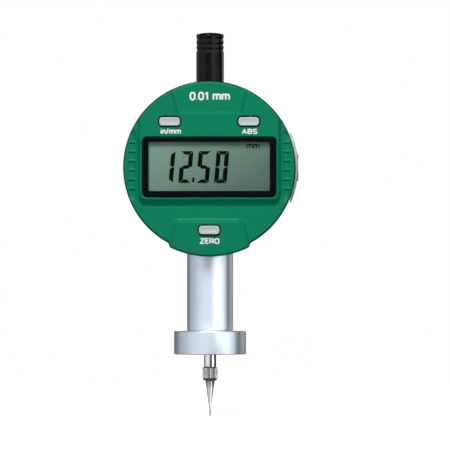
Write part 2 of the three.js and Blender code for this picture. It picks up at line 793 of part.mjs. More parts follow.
add(indicator, "spindle", "hardSteel", spindle());
add(indicator, "contact_point", "hardSteel", contactPoint());
add(indicator, "scale_carrier", "aluminium", scaleCarrier());
add(indicator, "encoder_scale", "boardGreen", encoderScale());
add(indicator, "carrier_clamp_screw", "screwSteel", clampScrew());
add(indicator, "guide_pin", "hardSteel", guidePin());

add(indicator, "upper_bush", "brass", upperBush());
add(indicator, "stem_bush_upper", "brass", bush(2.8 - 0.1, 37, STEM_TOP - 0.5));
add(indicator, "stem_bush_lower", "brass", bush(2.8 - 0.1, STEM_BOTTOM + 0.5, 19));
add(indicator, "return_spring", "hardSteel", returnSpring());
add(indicator, "travel_bumper", "nylon", travelBumper());
add(indicator, "stem", "turnedSteel", stem());

add(indicator, "dust_cap", "blackPlastic", dustCap());
add(indicator, "depth_base", "turnedSteel", depthBase());
GRUB_HEIGHTS.forEach((z, i) => {
  add(indicator, `base_set_screw_${i + 1}`, "screwSteel", grubScrew()).position.set(0, 0, z);
});

export default indicator;
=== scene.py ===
"""The looks of the digital indicator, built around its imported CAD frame.

Shapes are worked out in millimetres, in the frame's own axes, and scaled to metres as meshes are
made. "Head" places are measured from the centre of the round head: x to the reader's right, z up.
"""

import json
import math

import bmesh
import bpy
import numpy as np
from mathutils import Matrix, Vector
from mathutils.geometry import delaunay_2d_cdt


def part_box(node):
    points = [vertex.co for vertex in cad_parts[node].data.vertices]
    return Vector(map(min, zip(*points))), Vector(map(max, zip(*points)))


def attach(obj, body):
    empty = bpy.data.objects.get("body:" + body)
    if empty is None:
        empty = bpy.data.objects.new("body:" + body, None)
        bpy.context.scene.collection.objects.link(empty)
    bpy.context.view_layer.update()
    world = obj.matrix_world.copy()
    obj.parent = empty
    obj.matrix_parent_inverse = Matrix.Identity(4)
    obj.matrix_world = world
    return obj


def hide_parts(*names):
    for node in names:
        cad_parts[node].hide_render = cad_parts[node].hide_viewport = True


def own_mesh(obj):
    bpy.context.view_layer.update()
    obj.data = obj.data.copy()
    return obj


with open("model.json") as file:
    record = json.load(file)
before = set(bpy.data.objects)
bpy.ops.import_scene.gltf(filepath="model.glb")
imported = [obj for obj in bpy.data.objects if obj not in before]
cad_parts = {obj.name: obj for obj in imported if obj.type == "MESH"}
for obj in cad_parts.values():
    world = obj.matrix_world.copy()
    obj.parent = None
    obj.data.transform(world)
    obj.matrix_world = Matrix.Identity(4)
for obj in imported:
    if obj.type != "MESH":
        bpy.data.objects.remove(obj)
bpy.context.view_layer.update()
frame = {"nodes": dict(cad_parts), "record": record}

MM = 0.001


def limits(name):
    """A CAD node's lowest and highest corners, in millimetres."""
    low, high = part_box(name)
    return low / MM, high / MM


# ---------------------------------------------------------------- places taken from the frame

COVER_LOW, COVER_HIGH = limits("front_cover")
CASE_LOW, CASE_HIGH = limits("rear_case")
PLATE_LOW, PLATE_HIGH = limits("back_plate")
BEZEL_LOW, BEZEL_HIGH = limits("display_bezel")
LID_LOW, LID_HIGH = limits("battery_cover")
PORT_LOW, PORT_HIGH = limits("data_port_cover")
CAP_LOW, CAP_HIGH = limits("dust_cap")
BASE_HIGH = limits("depth_base")[1]
SPINDLE_LOW, SPINDLE_HIGH = limits("spindle")
POINT_LOW, POINT_HIGH = limits("contact_point")
LCD_FRONT = limits("lcd_panel")[0].y
HEAD_Z = (BEZEL_LOW.z + BEZEL_HIGH.z) / 2


def head_place(name):
    """The centre of a CAD node on the head."""
    low, high = limits(name)
    return (low.x + high.x) / 2, (low.z + high.z) / 2 - HEAD_Z


BUTTONS = {name: head_place(name) for name in ("in_mm_button", "abs_button", "zero_button")}
BACK_SCREWS = {f"back_screw_{i}": head_place(f"back_screw_{i}") for i in range(1, 5)}
SET_SCREWS = {f"base_set_screw_{i}": head_place(f"base_set_screw_{i}")[1] for i in (1, 2)}
LID_PLACE = head_place("battery_cover")

# ---------------------------------------------------------------- sizes of the front cover

COVER_RADIUS = COVER_HIGH.x
BLOCK_FACE = 13.8  # how far each face of the cover stands in front of the spindle's axis
ZERO_FACE = 13.4
LABEL_DEPTH = 1.2
LAND_FACE = 12.3
CEILING = 10.9
CAVITY_RADIUS = 27.6
RIM_ROUND = 0.95
BLOCK_HALF_WIDTH = 23.85
BLOCK_LOW = -11.0
BLOCK_CORNER = 2.7
BLOCK_WALL = 1.15
BLOCK_FOOT = 0.5  # how much gentler the wall is below the block than beside it
LABEL = {"edge": 18.4, "half": 11.4, "slope": 0.267, "way": 1, "corner": 0.8}
LABEL_WALL = 0.95
ZERO = {"edge": -19.0, "half": 11.2, "slope": 0.282, "way": -1, "corner": 0.9}
ZERO_WALL = 0.95
ZERO_LIP = -(COVER_LOW.z - HEAD_Z) - COVER_RADIUS
SCOOP = {"x": 26.8, "half": 1.6, "round": 2.3, "low": -10.2, "high": 11.2}
RIB_HEIGHTS = [8.7 - 3.22 * i for i in range(6)]
RIB_HALF = 0.5
RIB_SHARE = 0.7  # how far the ribs rise from the scoop towards the land beside it
RIB_LEVELS = (
    -0.52, -0.48, -0.4, -0.28, -0.14, 0, 0.14, 0.28, 0.4, 0.48, 0.52,
    0.75, 1.15, 1.59, -0.75, -1.15,
)
SCOOP_PLACES = (-1.9, -1.66, -1.6, -1.3, -0.9, -0.45, 0, 0.45, 0.9, 1.3, 1.6, 1.66, 1.9)
WINDOW = (46.6, 21.0, 1.8, 0, 0)  # width, height, corner radius and centre of the opening
BUTTON_SIZE = (7.1, 2.95, 1.05)  # width, height and corner radius
BUTTON_SLOT = 0.52
SLOT_ROUND = 0.08
WINDOW_ROUND = 0.3

# ---------------------------------------------------------------- sizes of the other pieces

# Rounded rectangles: width, height, corner radius, and the centre where it isn't the head's own.
BEZEL = (46.3, 20.7, 1.65)
SIGHT = (42.05, 17.0, 0.4, 0, 0.25)
COIN_SLOT = (13.0, 1.9, 0.94)
# The black ring round each key is painted shade: a dark sheet where the gap round the key lies in shadow.
SHADE_RING_FRONT = -12.9
SHADE_RING_BACK = -11.9
SHADE_RING_OVERLAP = 0.06  # how much larger than the key the hole in its black ring of painted shade is
CASE_RADIUS = 29.7
PAD = {"radius": 30.6, "half": 11.8, "half_y": 5.6, "root": 28.0}
SOCKET = {"half_y": 2.8, "half_z": 4.6}
LID_GAP = 0.25
BUSH_BORE = 3.65
STEM_BORE = 4.15
SPINDLE_HOLE = 3.5
CELL_OPENING = 10.0
LID_RADIUS = 10.8
LID_RECESS = {"radius": 11.0, "floor": 9.2, "lip": (0.35, 0.25)}
SCREW_RECESS = {"radius": 2.0, "floor": 9.3, "lip": (0.25, 0.15)}
RIDGES = {"count": 3, "middle": 2.6, "pitch": 0.85}
GRIP_GROOVES = (109.7, 107.75, 105.9)
SLEEVE_RADIUS = 8.0
UNDERCUT_RADIUS = 7.72
DISC_HEIGHT = 8.0

# ---------------------------------------------------------------- outlines


def rounded(corners, closed=False, steps=5):
    """Corners (a, b, radius) as a line of points whose corners are arcs."""
    line = []
    last = len(corners) - 1
    for i, (a, b, radius) in enumerate(corners):
        if radius <= 0 or (not closed and i in (0, last)):
            line.append((a, b))
            continue
        corner = Vector((a, b))
        to_before = (Vector(corners[i - 1][:2]) - corner).normalized()
        to_after = (Vector(corners[(i + 1) % len(corners)][:2]) - corner).normalized()
        half = to_before.angle(to_after) / 2
        centre = corner + (to_before + to_after).normalized() * (radius / math.sin(half))
        start = corner + to_before * (radius / math.tan(half)) - centre
        turn = math.pi - 2 * half
        if to_before.x * to_after.y - to_before.y * to_after.x > 0:
            turn = -turn
        for k in range(steps + 1):
            angle = turn * k / steps
            x = start.x * math.cos(angle) - start.y * math.sin(angle)
            y = start.x * math.sin(angle) + start.y * math.cos(angle)
            line.append((centre.x + x, centre.y + y))
    return line


def rectangle(width, height, corner, x=0, z=0, steps=6):
    """A function of an inset that gives a rounded rectangle's outline, anticlockwise."""

    def outline(inset=0.0):
        w = width / 2 - inset
        h = height / 2 - inset
        r = max(corner - inset, 0.02)
        spots = [(x - w, z - h, r), (x + w, z - h, r), (x + w, z + h, r), (x - w, z + h, r)]
        return rounded(spots, closed=True, steps=steps)

    return outline


def polar(radius_at, sides=240, x=0, z=0):
    """A function of an inset that gives the outline of a round shape whose radius varies."""

    def outline(inset=0.0):
        points = []
        for i in range(sides):
            angle = 2 * math.pi * i / sides
            r = radius_at(angle) - inset
            points.append((x + r * math.cos(angle), z + r * math.sin(angle)))
        return points

    return outline


def circle(radius, sides=96, x=0, z=0):
    return polar(lambda angle: radius, sides, x, z)


def resampled(line, step):
    """The same line with its long stretches split."""
    points = [line[0]]
    for (ax, az), (bx, bz) in zip(line, line[1:]):
        pieces = max(1, round(math.hypot(bx - ax, bz - az) / step))
        for k in range(1, pieces + 1):
            points.append((ax + (bx - ax) * k / pieces, az + (bz - az) * k / pieces))
    return points


def offset_line(line, distance):
    """The line moved sideways, to its right where distance is positive."""
    points = np.array(line)
    along = np.gradient(points, axis=0)
    along /= np.linalg.norm(along, axis=1)[:, None]
    return points + distance * np.column_stack((along[:, 1], -along[:, 0]))


def within(points, loop):
    """Which points lie inside a closed outline."""
    x, z = points[:, 0], points[:, 1]
    inside = np.zeros(len(points), bool)
    for (ax, az), (bx, bz) in zip(loop, loop[1:] + loop[:1]):
        crosses = (az > z) != (bz > z)
        with np.errstate(divide="ignore", invalid="ignore"):
            inside ^= crosses & (x < (bx - ax) * (z - az) / (bz - az) + ax)
    return inside


def delaunay(loops, extra=()):
    """Triangles over closed outlines, whose sides stay edges, and over some extra points.

    Returns the points, the triangles, their centres, and the given points that each one stands for."""
    points = [tuple(p) for loop in loops for p in loop]
    edges = []
    start = 0
    for loop in loops:
        count = len(loop)
        edges += [(start + i, start + (i + 1) % count) for i in range(count)]
        start += count
    points += [tuple(p) for p in extra]
    made = delaunay_2d_cdt([Vector(p) for p in points], edges, [], 0, 1e-5)
    coords = np.array([tuple(v) for v in made[0]])
    triangles = np.array(made[2])
    return coords, triangles, coords[triangles].mean(axis=1), made[3]


def triangulated(loops, extra=()):
    """Triangles between an outer outline and the holes in it.

    Returns the points, the triangles, and each outline's place among the points."""
    coords, triangles, centres, origins = delaunay(loops, extra)
    keep = within(centres, list(loops[0]))
    for hole in loops[1:]:
        keep &= ~within(centres, list(hole))
    place = {old: new for new, olds in enumerate(origins) for old in olds}
    rings = []
    start = 0
    for loop in loops:
        rings.append([place[start + i] for i in range(len(loop))])
        start += len(loop)
    return coords, [tuple(int(i) for i in t) for t in triangles[keep]], rings


# ---------------------------------------------------------------- meshes


class Shape:
    """Points in millimetres and faces, added to bit by bit."""

    def __init__(self):
        self.points = []
        self.faces = []

    def row(self, points):
        start = len(self.points)
        self.points += [tuple(p) for p in points]
        return list(range(start, start + len(points)))

    def bridge(self, low, high):
        for i, start in enumerate(low):
            j = (i + 1) % len(low)
            self.faces.append((start, low[j], high[j], high[i]))

    def fan(self, ring, tip):
        for i, start in enumerate(ring):
            self.faces.append((start, ring[(i + 1) % len(ring)], tip))

    def skin(self, rings):
        """Faces between each ring and the next, where a ring of one point is a tip."""
        for low, high in zip(rings, rings[1:]):
            if len(low) == 1:
                self.fan(high, low[0])
            elif len(high) == 1:
                self.fan(low, high[0])
            else:
                self.bridge(low, high)

    def tube(self, rings):
        """Faces between each ring and the next, and a flat face over each end."""
        self.skin(rings)
        self.faces += [tuple(rings[0]), tuple(rings[-1][::-1])]

    def turned(self, turn):
        """The same shape with each point passed through turn."""
        self.points = [turn(p) for p in self.points]
        return self


def as_mesh(name, shape):
    """A Blender mesh in metres with its faces turned outwards."""
    mesh = bpy.data.meshes.new(name)
    mesh.from_pydata([tuple(c * MM for c in p) for p in shape.points], [], shape.faces)
    work = bmesh.new()
    work.from_mesh(mesh)
    bmesh.ops.recalc_face_normals(work, faces=work.faces)
    work.to_mesh(mesh)
    work.free()
    mesh.validate()
    return mesh


def as_object(name, shape):
    made = bpy.data.objects.new(name, as_mesh(name, shape))
    bpy.context.scene.collection.objects.link(made)
    return made


def cut(target, *shapes, operation="DIFFERENCE"):
    """Cuts closed shapes out of an object's mesh, or joins them to it."""
    for shape in shapes:
        tool = as_object("tool", shape)
        change = target.modifiers.new("cut", "BOOLEAN")
        change.operation = operation
        change.solver = "EXACT"
        change.object = tool
        bake_modifiers(target)
        bpy.data.objects.remove(tool)


def bake_modifiers(target):
    graph = bpy.context.evaluated_depsgraph_get()
    result = bpy.data.meshes.new_from_object(target.evaluated_get(graph))
    target.modifiers.clear()
    target.data = result


def finished(target, body, slot, replaces=(), material=None, sharp=35, weighted=True):
    """Shades a piece, gives it its slot's material or another, and hands it to the frame."""
    mesh = target.data
    mesh.materials.clear()
    mesh.materials.append(material or MATERIALS[slot])
    mesh.polygons.foreach_set("material_index", [0] * len(mesh.polygons))
    mesh.shade_smooth()
    mesh.set_sharp_from_angle(angle=math.radians(sharp))
    if weighted:
        normals = target.modifiers.new("normals", "WEIGHTED_NORMAL")
        normals.keep_sharp = True
        bake_modifiers(target)
    target.data.name = target.name
    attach(target, body)
    if replaces:
        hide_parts(*replaces)
    return target


def piece(name, shape, body, slot, replaces=(), **shading):
    return finished(as_object(name, shape), body, slot, replaces, **shading)


def lathe(profile, sides=128, closed=False):
    """A line of (radius, height) points turned about the upright axis."""
    shape = Shape()
    angles = [2 * math.pi * i / sides for i in range(sides)]
    rings = []
    for radius, z in profile:
        if radius < 1e-6:
            rings.append(shape.row([(0, 0, z)]))
        else:
            rings.append(shape.row([(radius * math.cos(a), radius * math.sin(a), z) for a in angles]))
    shape.skin(rings + rings[:1] if closed else rings)
    return shape


def lathe_y(profile, x, z, sides=64, closed=False):
    """A line of (radius, depth) points turned about an axis along Y through the head place (x, z)."""
    return lathe(profile, sides, closed).turned(lambda p: (x + p[0], p[2], HEAD_Z + z - p[1]))


def box(x0, x1, y0, y1, z0, z1):
    shape = Shape()
    low = shape.row([(x0, y0, z0), (x1, y0, z0), (x1, y1, z0), (x0, y1, z0)])
    high = shape.row([(x0, y0, z1), (x1, y0, z1), (x1, y1, z1), (x0, y1, z1)])
    shape.bridge(low, high)
    shape.faces += [tuple(low[::-1]), tuple(high)]
    return shape


def edge_steps(edge, steps=4):
    """(inset, drop) pairs of a quarter-round edge, from the flat face to the wall."""
    if edge <= 0:
        return [(0.0, 0.0)]
    angles = [math.pi / 2 * k / steps for k in range(steps + 1)]
    return [(edge * (1 - math.sin(a)), edge * (1 - math.cos(a))) for a in angles]


def panel(outer, holes, front, back, edge=0.3, hole_edge=0.0, back_edge=None):
    """A plate between two depths, on the head, with rounded edges and holes through it."""
    back_edge = edge if back_edge is None else back_edge
    shape = Shape()

    def face(depth, edge_here, hole_edge_here):
        loops = [outer(edge_here)] + [hole(-hole_edge_here) for hole in holes]
        coords, triangles, rings = triangulated(loops)
        start = len(shape.points)
        shape.row([(x, depth, HEAD_Z + z) for x, z in coords])
        shape.faces += [tuple(start + i for i in t) for t in triangles]
        return [[start + i for i in ring] for ring in rings]

    front_rings = face(front, edge, hole_edge)
    back_rings = face(back, back_edge, hole_edge)
    for k, outline in enumerate([outer] + list(holes)):
        sign = 1 if k == 0 else -1
        front_edge = edge if k == 0 else hole_edge
        rear_edge = back_edge if k == 0 else hole_edge
        ring = front_rings[k]
        rows = [(inset, front + drop) for inset, drop in edge_steps(front_edge)[1:]]
        rows += [(inset, back - drop) for inset, drop in reversed(edge_steps(rear_edge)[1:])]
        if front_edge <= 0 and rear_edge <= 0:
            rows = []
        for inset, depth in rows:
            following = shape.row([(x, depth, HEAD_Z + z) for x, z in outline(sign * inset)])
            shape.bridge(ring, following)
            ring = following
        shape.bridge(ring, back_rings[k])
    return shape


# ---------------------------------------------------------------- materials


def shader(name, colour, roughness, metallic=0.0, **sockets):
    """A new material: its Principled node and its node tree."""
    material = bpy.data.materials.new(name)
    material.use_nodes = True
    tree = material.node_tree
    surface = tree.nodes["Principled BSDF"]
    surface.inputs["Base Color"].default_value = (*colour, 1.0)
    surface.inputs["Roughness"].default_value = roughness
    surface.inputs["Metallic"].default_value = metallic
    for socket, value in sockets.items():
        surface.inputs[socket.replace("_", " ")].default_value = value
    return material, tree, surface


def node(tree, kind, inputs=None, **settings):
    made = tree.nodes.new(kind)
    for name, value in settings.items():
        setattr(made, name, value)
    for name, value in (inputs or {}).items():
        if isinstance(value, bpy.types.NodeSocket):
            tree.links.new(value, made.inputs[name])
        else:
            made.inputs[name].default_value = value
    return made


def object_place(tree):
    return node(tree, "ShaderNodeTexCoord").outputs["Object"]


def ranged(tree, value, low, high, to_low=0.0, to_high=1.0, **settings):
    """The stretch of a value between two limits, spread between two other numbers."""
    inputs = {"Value": value, "From Min": low, "From Max": high, "To Min": to_low, "To Max": to_high}
    return node(tree, "ShaderNodeMapRange", inputs, **settings).outputs["Result"]


def noise(tree, size, stretch=(1, 1, 1), detail=2.0):
    """A noise whose blotches are about size millimetres, longer where stretch is above 1."""
    scale = [1 / (size * MM * s) for s in stretch]
    mapping = node(tree, "ShaderNodeMapping", {"Vector": object_place(tree), "Scale": scale})
    inputs = {"Vector": mapping.outputs["Vector"], "Scale": 1.0, "Detail": detail}
    return node(tree, "ShaderNodeTexNoise", inputs).outputs["Fac"]


def spread(tree, factor, low, high):
    """A noise's usual range spread between two numbers."""
    return ranged(tree, factor, 0.3, 0.7, low, high)


def polish(tree, surface, factor, low, high):
    """The roughness wanders between two values."""
    tree.links.new(spread(tree, factor, low, high), surface.inputs["Roughness"])


def blend(tree, surface, factor, *ends):
    """The base colour goes between two ends, each a colour or another node's output."""
    mix = node(tree, "ShaderNodeMix", {"Factor": factor}, data_type="RGBA")
    sockets = [socket for socket in mix.inputs if socket.type == "RGBA"]
    for socket, end in zip(sockets, ends):
        if isinstance(end, bpy.types.NodeSocket):
            tree.links.new(end, socket)
        else:
            socket.default_value = (*end, 1.0)
    mixed = [socket for socket in mix.outputs if socket.type == "RGBA"][0]
    tree.links.new(mixed, surface.inputs["Base Color"])


def mottle(tree, surface, factor, colour, amount, tint=(1, 1, 1)):
    """The base colour wanders between a darker and a lighter shade of itself."""
    dark = [c * (1 - amount) for c in colour]
    light = [min(1.0, c * (1 + amount) * t) for c, t in zip(colour, tint)]
    blend(tree, surface, factor, dark, light)


def relief(tree, surface, height, depth):
    """A bump of the given depth in millimetres."""
    inputs = {"Height": height, "Distance": depth * MM, "Strength": 1.0}
    bump = node(tree, "ShaderNodeBump", inputs)
    tree.links.new(bump.outputs["Normal"], surface.inputs["Normal"])


def plastic(name, colour, roughness, grain=0.14, depth=0.006, amount=0.05, gloss=0.4):
    """Moulded plastic with the fine spark-eroded grain of its mould."""
    material, tree, surface = shader(name, colour, roughness, Specular_IOR_Level=gloss)
    mottle(tree, surface, noise(tree, 6.0), colour, amount)
    relief(tree, surface, noise(tree, grain, detail=3.0), depth)
    polish(tree, surface, noise(tree, 1.2), roughness - 0.06, roughness + 0.06)
    return material


def turned_metal(name, colour, roughness, depth=0.0012, amount=0.05):
    """Metal with the fine rings that turning leaves, a little uneven round the part."""
    brushed = {"Anisotropic": 0.45, "Anisotropic_Rotation": 0.25}
    material, tree, surface = shader(name, colour, roughness, 1.0, **brushed)
    rings = noise(tree, 0.05, stretch=(120, 120, 1))
    mottle(tree, surface, noise(tree, 5.0), colour, amount)
    relief(tree, surface, rings, depth)
    polish(tree, surface, rings, roughness - 0.05, roughness + 0.05)
    tangent = node(tree, "ShaderNodeTangent", direction_type="RADIAL", axis="Z")
    tree.links.new(tangent.outputs["Tangent"], surface.inputs["Tangent"])
    return material


def plain_metal(name, colour, roughness, grain=0.3, stretch=(1, 1, 1)):
    """Rolled, plated or milled metal: faint grain and uneven polish."""
    material, tree, surface = shader(name, colour, roughness, 1.0)
    mottle(tree, surface, noise(tree, 3.0), colour, 0.06)
    fine = noise(tree, grain, stretch)
    relief(tree, surface, fine, 0.001)
    polish(tree, surface, fine, roughness - 0.04, roughness + 0.06)
    return material


def rubber(name, colour):
    material, tree, surface = shader(name, colour, 0.75, Specular_IOR_Level=0.3)
    mottle(tree, surface, noise(tree, 2.0), colour, 0.15)
    relief(tree, surface, noise(tree, 0.2, detail=4.0), 0.012)
    return material


def display_glass(name, colour):
    """The display's grey-green ground, paler towards its upper left, with a faint grain."""
    material, tree, surface = shader(name, colour, 0.4, Specular_IOR_Level=0.15)
    slope = (-0.54, 0, 0.84)
    tilt = node(tree, "ShaderNodeVectorMath", {0: object_place(tree), 1: slope}, operation="DOT_PRODUCT")
    middle = slope[2] * HEAD_Z * MM
    shade = ranged(tree, tilt.outputs["Value"], middle - 0.02, middle + 0.02)
    mottle(tree, surface, shade, colour, 0.5, tint=(1.03, 1.0, 1.02))
    relief(tree, surface, noise(tree, 0.25), 0.002)
    polish(tree, surface, noise(tree, 3.0), 0.36, 0.44)
    return material


def clear_window(name):
    """A thin clear sheet: nearly all see-through, with a faint gloss and slight waviness."""
    material, tree, surface = shader(name, (0.0, 0.0, 0.0), 0.04, Alpha=0.05, Specular_IOR_Level=0.15)
    relief(tree, surface, noise(tree, 9.0), 0.01)
    return material


def solder_mask(name, colour):
    """A circuit board's lacquer with copper tracks showing through as paler lines."""
    material, tree, surface = shader(name, colour, 0.35)
    tracks = noise(tree, 1.6, stretch=(4, 4, 1), detail=0.0)
    mottle(tree, surface, spread(tree, tracks, 0.0, 1.0), colour, 0.3)
    relief(tree, surface, tracks, 0.03)
    return material


# Painted shade at the cover's rim, standing in for the outer rounding turning away from the light.
# Where it darkens, from and to, in millimetres from the head's centre: by distance, and by height,
# which keeps the ZERO panel's lip green. Then the share of the colour left at the edge.
RIM_SHADE_REACH = (29.3, 29.7)
RIM_SHADE_HEIGHT = (-26.8, -25.8)
RIM_SHADE_SHARE = 0.22


def green_plastic(name, colour):
    """The cover's plastic, with painted shade: it darkens at the very edge of the round rim, as the
    rounding there turns away from the light.
    """
    material = plastic(name, colour, 0.34, depth=0.003, amount=0.03, gloss=0.06)
    tree = material.node_tree
    surface = tree.nodes["Principled BSDF"]
    flesh = surface.inputs["Base Color"].links[0].from_socket
    middle = (0.0, 0.0, HEAD_Z * MM)
    offset = node(tree, "ShaderNodeVectorMath", {0: object_place(tree), 1: middle}, operation="SUBTRACT")
    split = node(tree, "ShaderNodeSeparateXYZ", {"Vector": offset.outputs["Vector"]}).outputs
    flat = node(tree, "ShaderNodeCombineXYZ", {"X": split["X"], "Z": split["Z"]}).outputs["Vector"]
    reach = node(tree, "ShaderNodeVectorMath", {0: flat}, operation="LENGTH").outputs["Value"]
    at_rim = ranged(tree, reach, *[r * MM for r in RIM_SHADE_REACH])
    above_panel = ranged(tree, split["Z"], *[z * MM for z in RIM_SHADE_HEIGHT])
    amount = node(tree, "ShaderNodeMath", {0: at_rim, 1: above_panel}, operation="MULTIPLY")
    # painted shade: the colour goes towards a darker copy of itself at the rim's edge
    blend(tree, surface, amount.outputs["Value"], flesh, [c * RIM_SHADE_SHARE for c in colour])
    return material


MATERIALS = {
    "cover_plastic": green_plastic("green_cover", (0.0, 0.254, 0.13)),
    "case_plastic": plastic("grey_case", (0.66, 0.70, 0.69), 0.5),
    "plate_plastic": plastic("grey_plate", (0.44, 0.465, 0.46), 0.55, grain=0.3, depth=0.02),
    "lid_plastic": plastic("grey_lid", (0.30, 0.32, 0.32), 0.5),
    "bezel_plastic": plastic(
        "black_bezel", (0.0018, 0.0035, 0.0042), 0.25, depth=0.001, amount=0.1, gloss=0.04
    ),
    "cap_plastic": plastic(
        "black_cap", (0.0015, 0.0018, 0.002), 0.2, depth=0.0006, amount=0.1, gloss=0.16
    ),
    "button_plastic": plastic("grey_button", (0.60, 0.665, 0.68), 0.45, grain=0.1, depth=0.003),
    "legend_paint": plastic("white_print", (0.97, 0.99, 0.985), 0.6, depth=0.002, amount=0.01),
    "segment_ink": plastic(
        "display_ink", (0.001, 0.002, 0.002), 0.5, depth=0.001, amount=0.1, gloss=0.03
    ),
    "clear_plastic": clear_window("clear_window"),
    "lcd_glass": display_glass("display_ground", (0.19, 0.345, 0.268)),
    "seal_rubber": rubber("seal_rubber", (0.02, 0.02, 0.02)),
    "port_rubber": rubber("port_rubber", (0.46, 0.49, 0.485)),
    "chip_plastic": plastic("chip_plastic", (0.015, 0.015, 0.017), 0.55),
    "board_laminate": solder_mask("board_laminate", (0.012, 0.11, 0.04)),
    "contact_metal": plain_metal("contact_metal", (0.72, 0.62, 0.36), 0.3),
    "cell_steel": plain_metal("cell_steel", (0.68, 0.68, 0.67), 0.22),
    "screw_steel": plain_metal("screw_steel", (0.52, 0.52, 0.53), 0.28, grain=0.12),
    "guide_steel": plain_metal("guide_steel", (0.56, 0.57, 0.59), 0.3, stretch=(1, 1, 12)),
    "spindle_steel": turned_metal("polished_spindle", (0.72, 0.72, 0.73), 0.09, depth=0.0003, amount=0.02),
    "point_steel": turned_metal("satin_point", (0.5, 0.5, 0.515), 0.2, depth=0.0008),
    "base_steel": turned_metal("turned_base", (0.60, 0.665, 0.745), 0.42),
    "spring_steel": plain_metal("spring_steel", (0.45, 0.45, 0.46), 0.3),
    "carrier_aluminium": plain_metal("carrier_aluminium", (0.62, 0.62, 0.64), 0.4, stretch=(6, 1, 1)),
    "bush_brass": turned_metal("bush_brass", (0.68, 0.50, 0.21), 0.25),
    "bumper_nylon": plastic("bumper_nylon", (0.72, 0.69, 0.60), 0.5),
}

# ---------------------------------------------------------------- the front cover


def ramp(distance, width, soft):
    """1 before 0, 0 beyond width, straight between them, with its two bends rounded."""

    def integral(t):
        return np.where(t < 0, t, np.where(t < width, t - t * t / (2 * width), width / 2))

    return (integral(distance + soft) - integral(distance - soft)) / (2 * soft)


def rounded_corner(first, second, corner):
    """Distance outside a corner between two walls, given the distance to each."""
    a = first + corner
    b = second + corner
    return np.hypot(np.maximum(a, 0), np.maximum(b, 0)) + np.minimum(np.maximum(a, b), 0) - corner


def block_distance(x, z):
    return rounded_corner(np.abs(x) - BLOCK_HALF_WIDTH, BLOCK_FOOT * (BLOCK_LOW - z), BLOCK_CORNER / 2)


def wedge_distance(x, z, edge, half, slope, way, corner, end_scale=1.0):
    """Distance outside a region that begins at a level edge and widens away from it."""
    reach = way * (z - edge)
    side = (np.abs(x) - half - slope * reach) / math.hypot(1, slope)
    return rounded_corner(side, -reach * end_scale, corner)


def rectangle_distance(x, z, width, height, corner, cx, cz):
    return rounded_corner(np.abs(x - cx) - width / 2, np.abs(z - cz) - height / 2, corner)


def cover_outline_radius(angle):
    """The round rim, with the ZERO panel's lip standing out of it."""
    reach = COVER_RADIUS + ZERO_LIP / 2
    x = reach * np.cos(angle)
    z = reach * np.sin(angle)
    return COVER_RADIUS + ZERO_LIP * ramp(wedge_distance(x, z, **ZERO), ZERO_WALL, 0.2)


def rounding(distance, radius):
    """How far a quarter-round edge has dropped at a distance inside it."""
    t = np.clip(radius - distance, 0, radius)
    return radius - np.sqrt(radius * radius - t * t)


def scoop_depth(x, z):
    """The finger scoops beside the block, with the ribs left standing in them."""
    across = np.minimum(np.abs(np.abs(x) - SCOOP["x"]), SCOOP["half"])
    mouth = math.sqrt(SCOOP["round"] ** 2 - SCOOP["half"] ** 2)
    depth = np.sqrt(SCOOP["round"] ** 2 - across**2) - mouth
    middle = (SCOOP["low"] + SCOOP["high"]) / 2
    length = (SCOOP["high"] - SCOOP["low"]) / 2
    depth = depth * ramp(np.abs(z - middle) - length, 1.6, 0.5)
    for height in RIB_HEIGHTS:
        off = np.clip(np.abs(z - height) / RIB_HALF, 0, 1)
        depth = depth * (1 - RIB_SHARE * np.sqrt(1 - off * off))
    return depth


def slot_rectangle(button):
    width, height, corner = BUTTON_SIZE
    x, z = BUTTONS[button]
    return width + 2 * BUTTON_SLOT, height + 2 * BUTTON_SLOT, corner + BUTTON_SLOT, x, z


def cover_height(x, z):
    """How far the cover's front stands before the spindle's axis at a place on the head."""
    height = LAND_FACE + (BLOCK_FACE - LAND_FACE) * ramp(block_distance(x, z), BLOCK_WALL, 0.2)
    height = height + (ZERO_FACE - LAND_FACE) * ramp(wedge_distance(x, z, **ZERO), ZERO_WALL, 0.18)
    label = wedge_distance(x, z, **LABEL, end_scale=1.6)
    height = height - LABEL_DEPTH * ramp(label + LABEL_WALL, LABEL_WALL, 0.12)
    height = height - scoop_depth(x, z)
    rim = cover_outline_radius(np.arctan2(z, x)) - np.hypot(x, z)
    height = height - rounding(rim, RIM_ROUND)
    height = height - rounding(rectangle_distance(x, z, *WINDOW), WINDOW_ROUND)
    for button in BUTTONS:
        height = height - rounding(rectangle_distance(x, z, *slot_rectangle(button)), SLOT_ROUND)
    return height


def cover_normals(x, z, step=0.01):
    slope_x = (cover_height(x + step, z) - cover_height(x - step, z)) / (2 * step)
    slope_z = (cover_height(x, z + step) - cover_height(x, z - step)) / (2 * step)
    normals = np.column_stack((-slope_x, -np.ones_like(x), -slope_z))
    return normals / np.linalg.norm(normals, axis=1)[:, None]


def bands(width, soft, inside=0.0):
    """Distances at which a wall's bends need points: its top edge, its foot, and either side."""
    steps = (-0.45, -soft, -soft / 2, 0, soft / 2, soft)
    near_top = [d - inside for d in steps]
    near_foot = [width - inside - d for d in steps]
    return sorted(set(near_top + near_foot + [width / 2 - inside]))


def wedge_line(edge, half, slope, way, corner):
    """The line round a widening region, from the rim down one side, along its edge, and back."""
    far = 12.0
    corners = [
        (-half - slope * far, edge + way * far, 0),
        (-half, edge, corner),
        (half, edge, corner),
        (half + slope * far, edge + way * far, 0),
    ]
    line = rounded(corners)
    return line if way > 0 else line[::-1]


